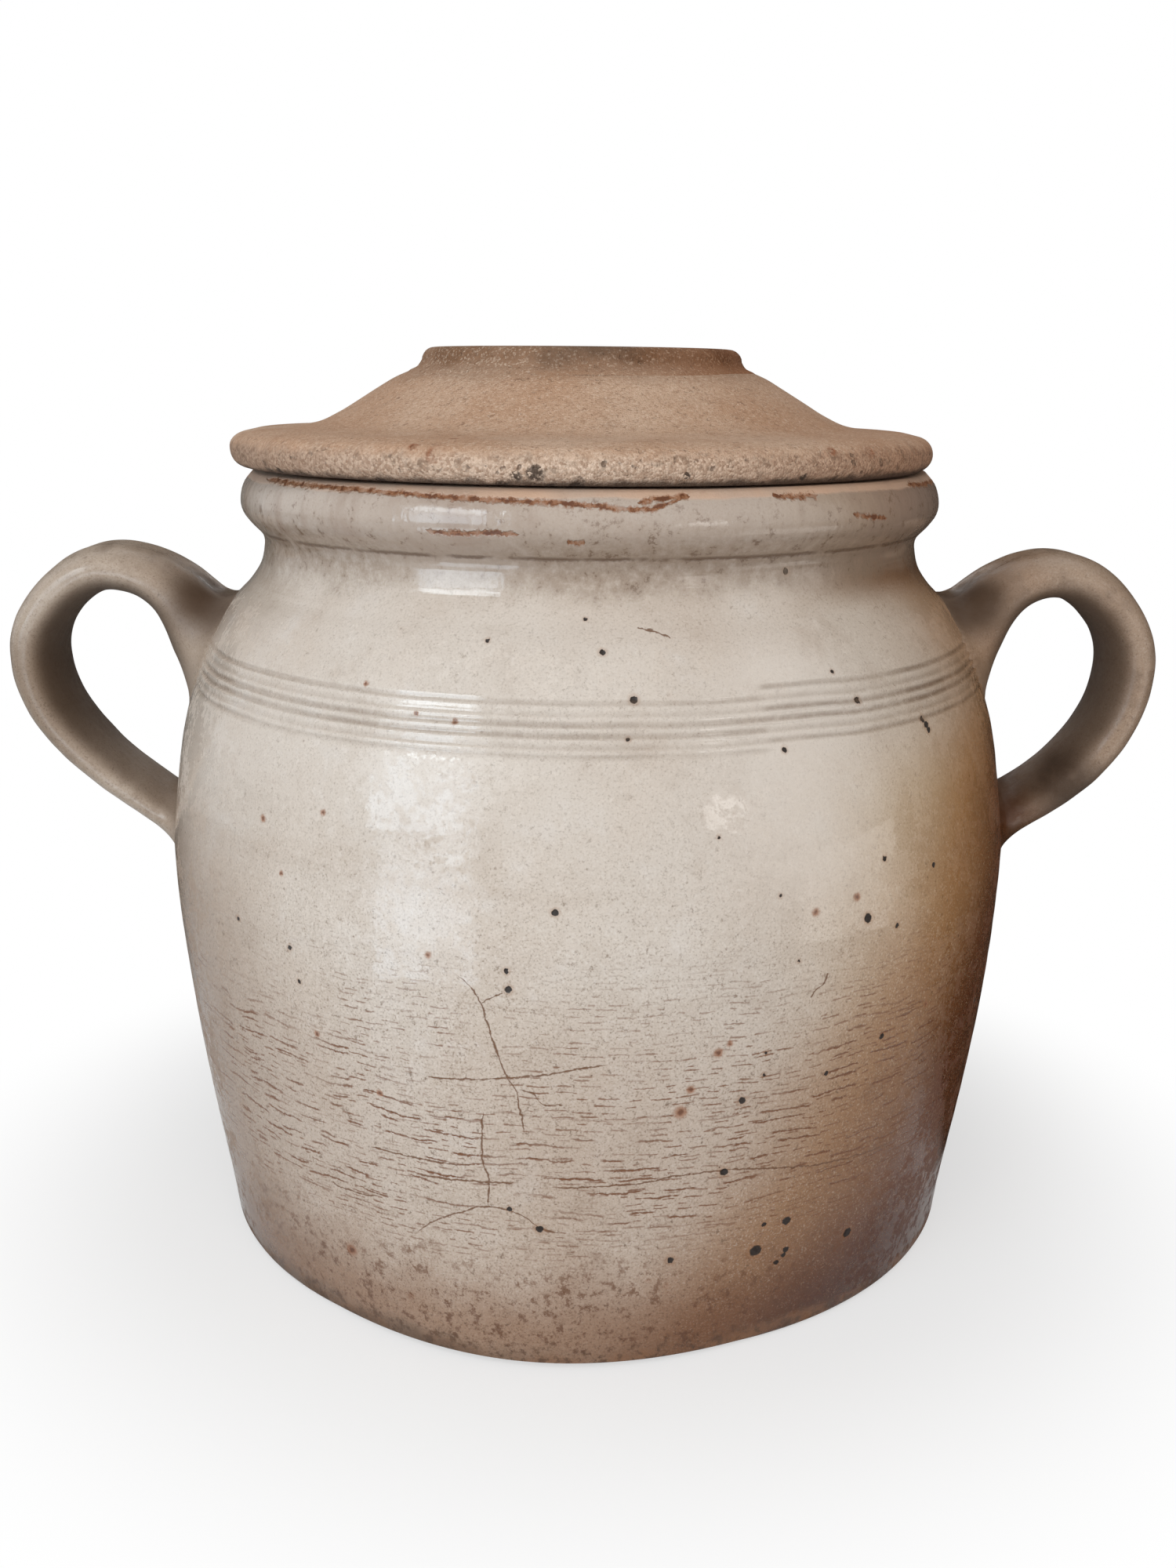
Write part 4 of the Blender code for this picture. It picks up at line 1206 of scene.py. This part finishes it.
# %% Turn the crown
top = CROWN_RADIUS - CROWN_TAPER
inner = top - CROWN_RING_WIDTH
under = -0.0006
rounded = 2 * CROWN_ROUND
crown_outline = joined(
    spaced([(inner - CROWN_HOLLOW_TAPER, under), (CROWN_RADIUS + 0.0012, under)], 0.002),
    spaced(smooth([(CROWN_RADIUS + 0.0012, under), (CROWN_RADIUS, 0.0004),
                   (CROWN_RADIUS - 0.0020, 0.0014), (top, CROWN_HEIGHT - rounded)], 8), 0.0004),
    arc((top - rounded, CROWN_HEIGHT - rounded), rounded, 0, 90, 6),
    spaced([(top - rounded, CROWN_HEIGHT), (inner + CROWN_ROUND, CROWN_HEIGHT)], 0.0012),
    arc((inner + CROWN_ROUND, CROWN_HEIGHT - CROWN_ROUND), CROWN_ROUND, 90, 180, 6),
    spaced([(inner, CROWN_HEIGHT - CROWN_ROUND), (inner - CROWN_HOLLOW_TAPER, under)], 0.0008),
)
crown = turn_piece(
    "crown", crown_outline, CROWN_STEPS, crown_clay, Settling=0.0005, Settling_size=0.04,
    Oval=0.00015, Ring_depth=0.00008, Ring_pitch=0.005, Seed=9.1,
)

# %% Lay the lid on the rim
LID_TILT = 0.27
cover_low, cover_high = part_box("lid_cover")
lid_middle = (cover_low.x + cover_high.x) / 2
seat = Matrix.Translation((lid_middle, 0, POT_HEIGHT + SEAT_GAP)) @ turned_by(LID_TILT, "Y")
cover.data.transform(seat)
crown.data.transform(seat @ Matrix.Translation((0, 0, COVER_RISE)))
print("lid middle at", round(lid_middle * 1000, 2), "mm")

# %% [markdown]
# Each piece now rides on its body and hides the solid that it stands for. Jar
# and handles are one body, and the lid is another, so the lid lifts off with its
# crown.

# %% Hang the pieces on the frame
for piece, body, node, slot in (
    (jar, "pot", "pot_body", "pot_glaze"),
    (left_handle, "pot", "handle_left", "handle_left_glaze"),
    (right_handle, "pot", "handle_right", "handle_right_glaze"),
    (cover, "lid", "lid_cover", "lid_clay"),
    (crown, "lid", "lid_crown", "crown_clay"),
):
    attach(piece, body)
    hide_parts(node)
    print(piece.name, "rides on", body)

# %% [markdown]
# The jar stands on a pale table that runs out into white. Near the jar the table
# is a real surface, so that it holds a soft shadow. Further out it fades to plain
# white for the camera, and the world behind it is white too, so no horizon shows.

# %% Table and backdrop
TABLE_RADIUS, TABLE_CORNERS, TABLE_TOP = 4, 64, -0.0003
SHADOW_END, WHITE_FROM, WORLD_LIGHT = 0.11, 0.21, 0.4


def painted(name, points, faces, paint_name, colour, roughness):
    """A mesh with a plain material; gives the object, the material's tree and its shader."""
    mesh = bpy.data.meshes.new(name)
    mesh.from_pydata(points, [], faces)
    made = add_object(name, mesh)
    material = bpy.data.materials.new(paint_name)
    material.use_nodes = True
    mesh.materials.append(material)
    shader = material.node_tree.nodes["Principled BSDF"]
    shader.inputs["Base Color"].default_value = (*colour, 1)
    shader.inputs["Roughness"].default_value = roughness
    return made, material.node_tree, shader


corners = [around(360 * i / TABLE_CORNERS, TABLE_RADIUS, TABLE_TOP) for i in range(TABLE_CORNERS)]
table, tree, shader = painted(
    "table", corners, [tuple(range(TABLE_CORNERS))], "table_paint", (0.9, 0.9, 0.9), 0.9)
shader.inputs["Specular IOR Level"].default_value = 0.1
distance = place(tree, "TexCoord", out="Object").vector("LENGTH", out=1)
glow = place(tree, "Emission", {"Color": (1, 1, 1, 1), "Strength": 1.0})
seen = place(tree, "LightPath", out="Is Camera Ray")
fade = seen * distance.ramp(SHADOW_END, WHITE_FROM, 0.55, 1)
both = place(tree, "MixShader", {0: fade, 1: Wire(shader.outputs[0]), 2: glow})
feed(tree.nodes["Material Output"].inputs["Surface"], both)

world = bpy.data.worlds.new("Studio")
world.use_nodes = True
bpy.context.scene.world = world
tree = world.node_tree
rays = place(tree, "LightPath", out="Is Camera Ray")
seen = rays.most(rays.other("Is Glossy Ray")).most(rays.other("Is Transmission Ray"))
feed(tree.nodes["Background"].inputs["Strength"], seen * (1 - WORLD_LIGHT) + WORLD_LIGHT)
tree.nodes["Background"].inputs["Color"].default_value = (1, 1, 1, 1)
print("table", 2 * TABLE_RADIUS, "m across")

# %% [markdown]
# A glaze mirrors most at its edges, where it shows what stands behind the pot to
# the left and right. All white there, it would wash the edges out. Photographers
# put dark screens beside glossy things for this, and so does this studio. They
# are seen by reflections alone, so they neither shade the pot nor show up, and
# each thins out towards its front end, so that no edge of it is mirrored.

# %% Dark screens behind the pot
SCREEN_BENDS = 25
SCREEN_FOOT, SCREEN_AWAY, SCREEN_BASE, SCREEN_TOP = 0.112, 1.1, 0.001, 1.3
SCREENS = (("right", 74, 176, 18, (0.03, 0.019, 0.011)),
           ("left", -108, -176, 32, (0.13, 0.11, 0.09)))
squares = [(i, i + 1, i + 1 + SCREEN_BENDS, i + SCREEN_BENDS)
           for i in range(2 * SCREEN_BENDS - 1) if i != SCREEN_BENDS - 1]
for side, start, end, thinned, tone in SCREENS:
    upright = [around(angle, away, height) for away, height in (
        (SCREEN_FOOT, SCREEN_BASE), (SCREEN_AWAY, SCREEN_BASE), (SCREEN_AWAY, SCREEN_TOP))
        for angle in np.linspace(start, end, SCREEN_BENDS)]
    screen, tree, shader = painted(
        "screen_" + side, upright, squares, "felt_" + side, tone, 1.0)
    screen.visible_camera = screen.visible_diffuse = screen.visible_shadow = False
    screen.visible_transmission = False
    x, y, _ = parts_of(place(tree, "TexCoord", out="Object"))
    front, full = math.radians(abs(start)), math.radians(abs(start) + thinned)
    feed(shader.inputs["Alpha"], x.math("ARCTAN2", y * -1).size().ramp(front, full))
print("screens", [side for side, *_ in SCREENS])

# %% [markdown]
# The lamps are shaped for their reflections too: a wide window to the left, a
# card on the table below it, a small far window to the right, and a dim card
# under that. A large lamp above the camera gives most of the light, and isn't
# mirrored. They are area lamps, placed by a direction from the jar: degrees from
# the front, degrees up, metres away.


# %% Lamps
LAMP_AIM = Vector((0, 0, 0.12))


def lamp(name, angle, up, away, width, height, glow, colour, mirrored=True, lights=True):
    """An area lamp; glow is how bright its face is, where white paper is about 1."""
    light = bpy.data.lights.new(name, "AREA")
    light.shape = "RECTANGLE"
    light.size, light.size_y = width, height
    light.energy, light.color = glow * math.pi * width * height, colour
    holder = add_object(name, light)
    way = around(angle, math.cos(math.radians(up)), math.sin(math.radians(up)))
    holder.location = LAMP_AIM + way * away
    holder.rotation_euler = way.to_track_quat("Z", "Y").to_euler()
    holder.visible_glossy, holder.visible_diffuse = mirrored, lights
    holder.visible_camera = False


lamp("window", -43, 9, 1.5, 0.74, 0.52, 5.6, (0.7, 0.86, 1))
lamp("window_top", -44.5, 26, 1.5, 0.66, 0.26, 9, (0.8, 0.92, 1), lights=False)
lamp("room", -6, 42, 2.0, 1.6, 1.6, 2.25, (1, 0.98, 0.95), mirrored=False)
lamp("window_card", -35.4, -12.5, 0.355, 0.15, 0.135, 3.7, (0.7, 0.85, 1), lights=False)
lamp("far_window", 35, 9, 2.2, 0.4, 0.3, 4, (1, 0.96, 0.92))
lamp("far_card", 62, -9, 0.4, 0.2, 0.11, 1.3, (1, 0.95, 0.9), lights=False)
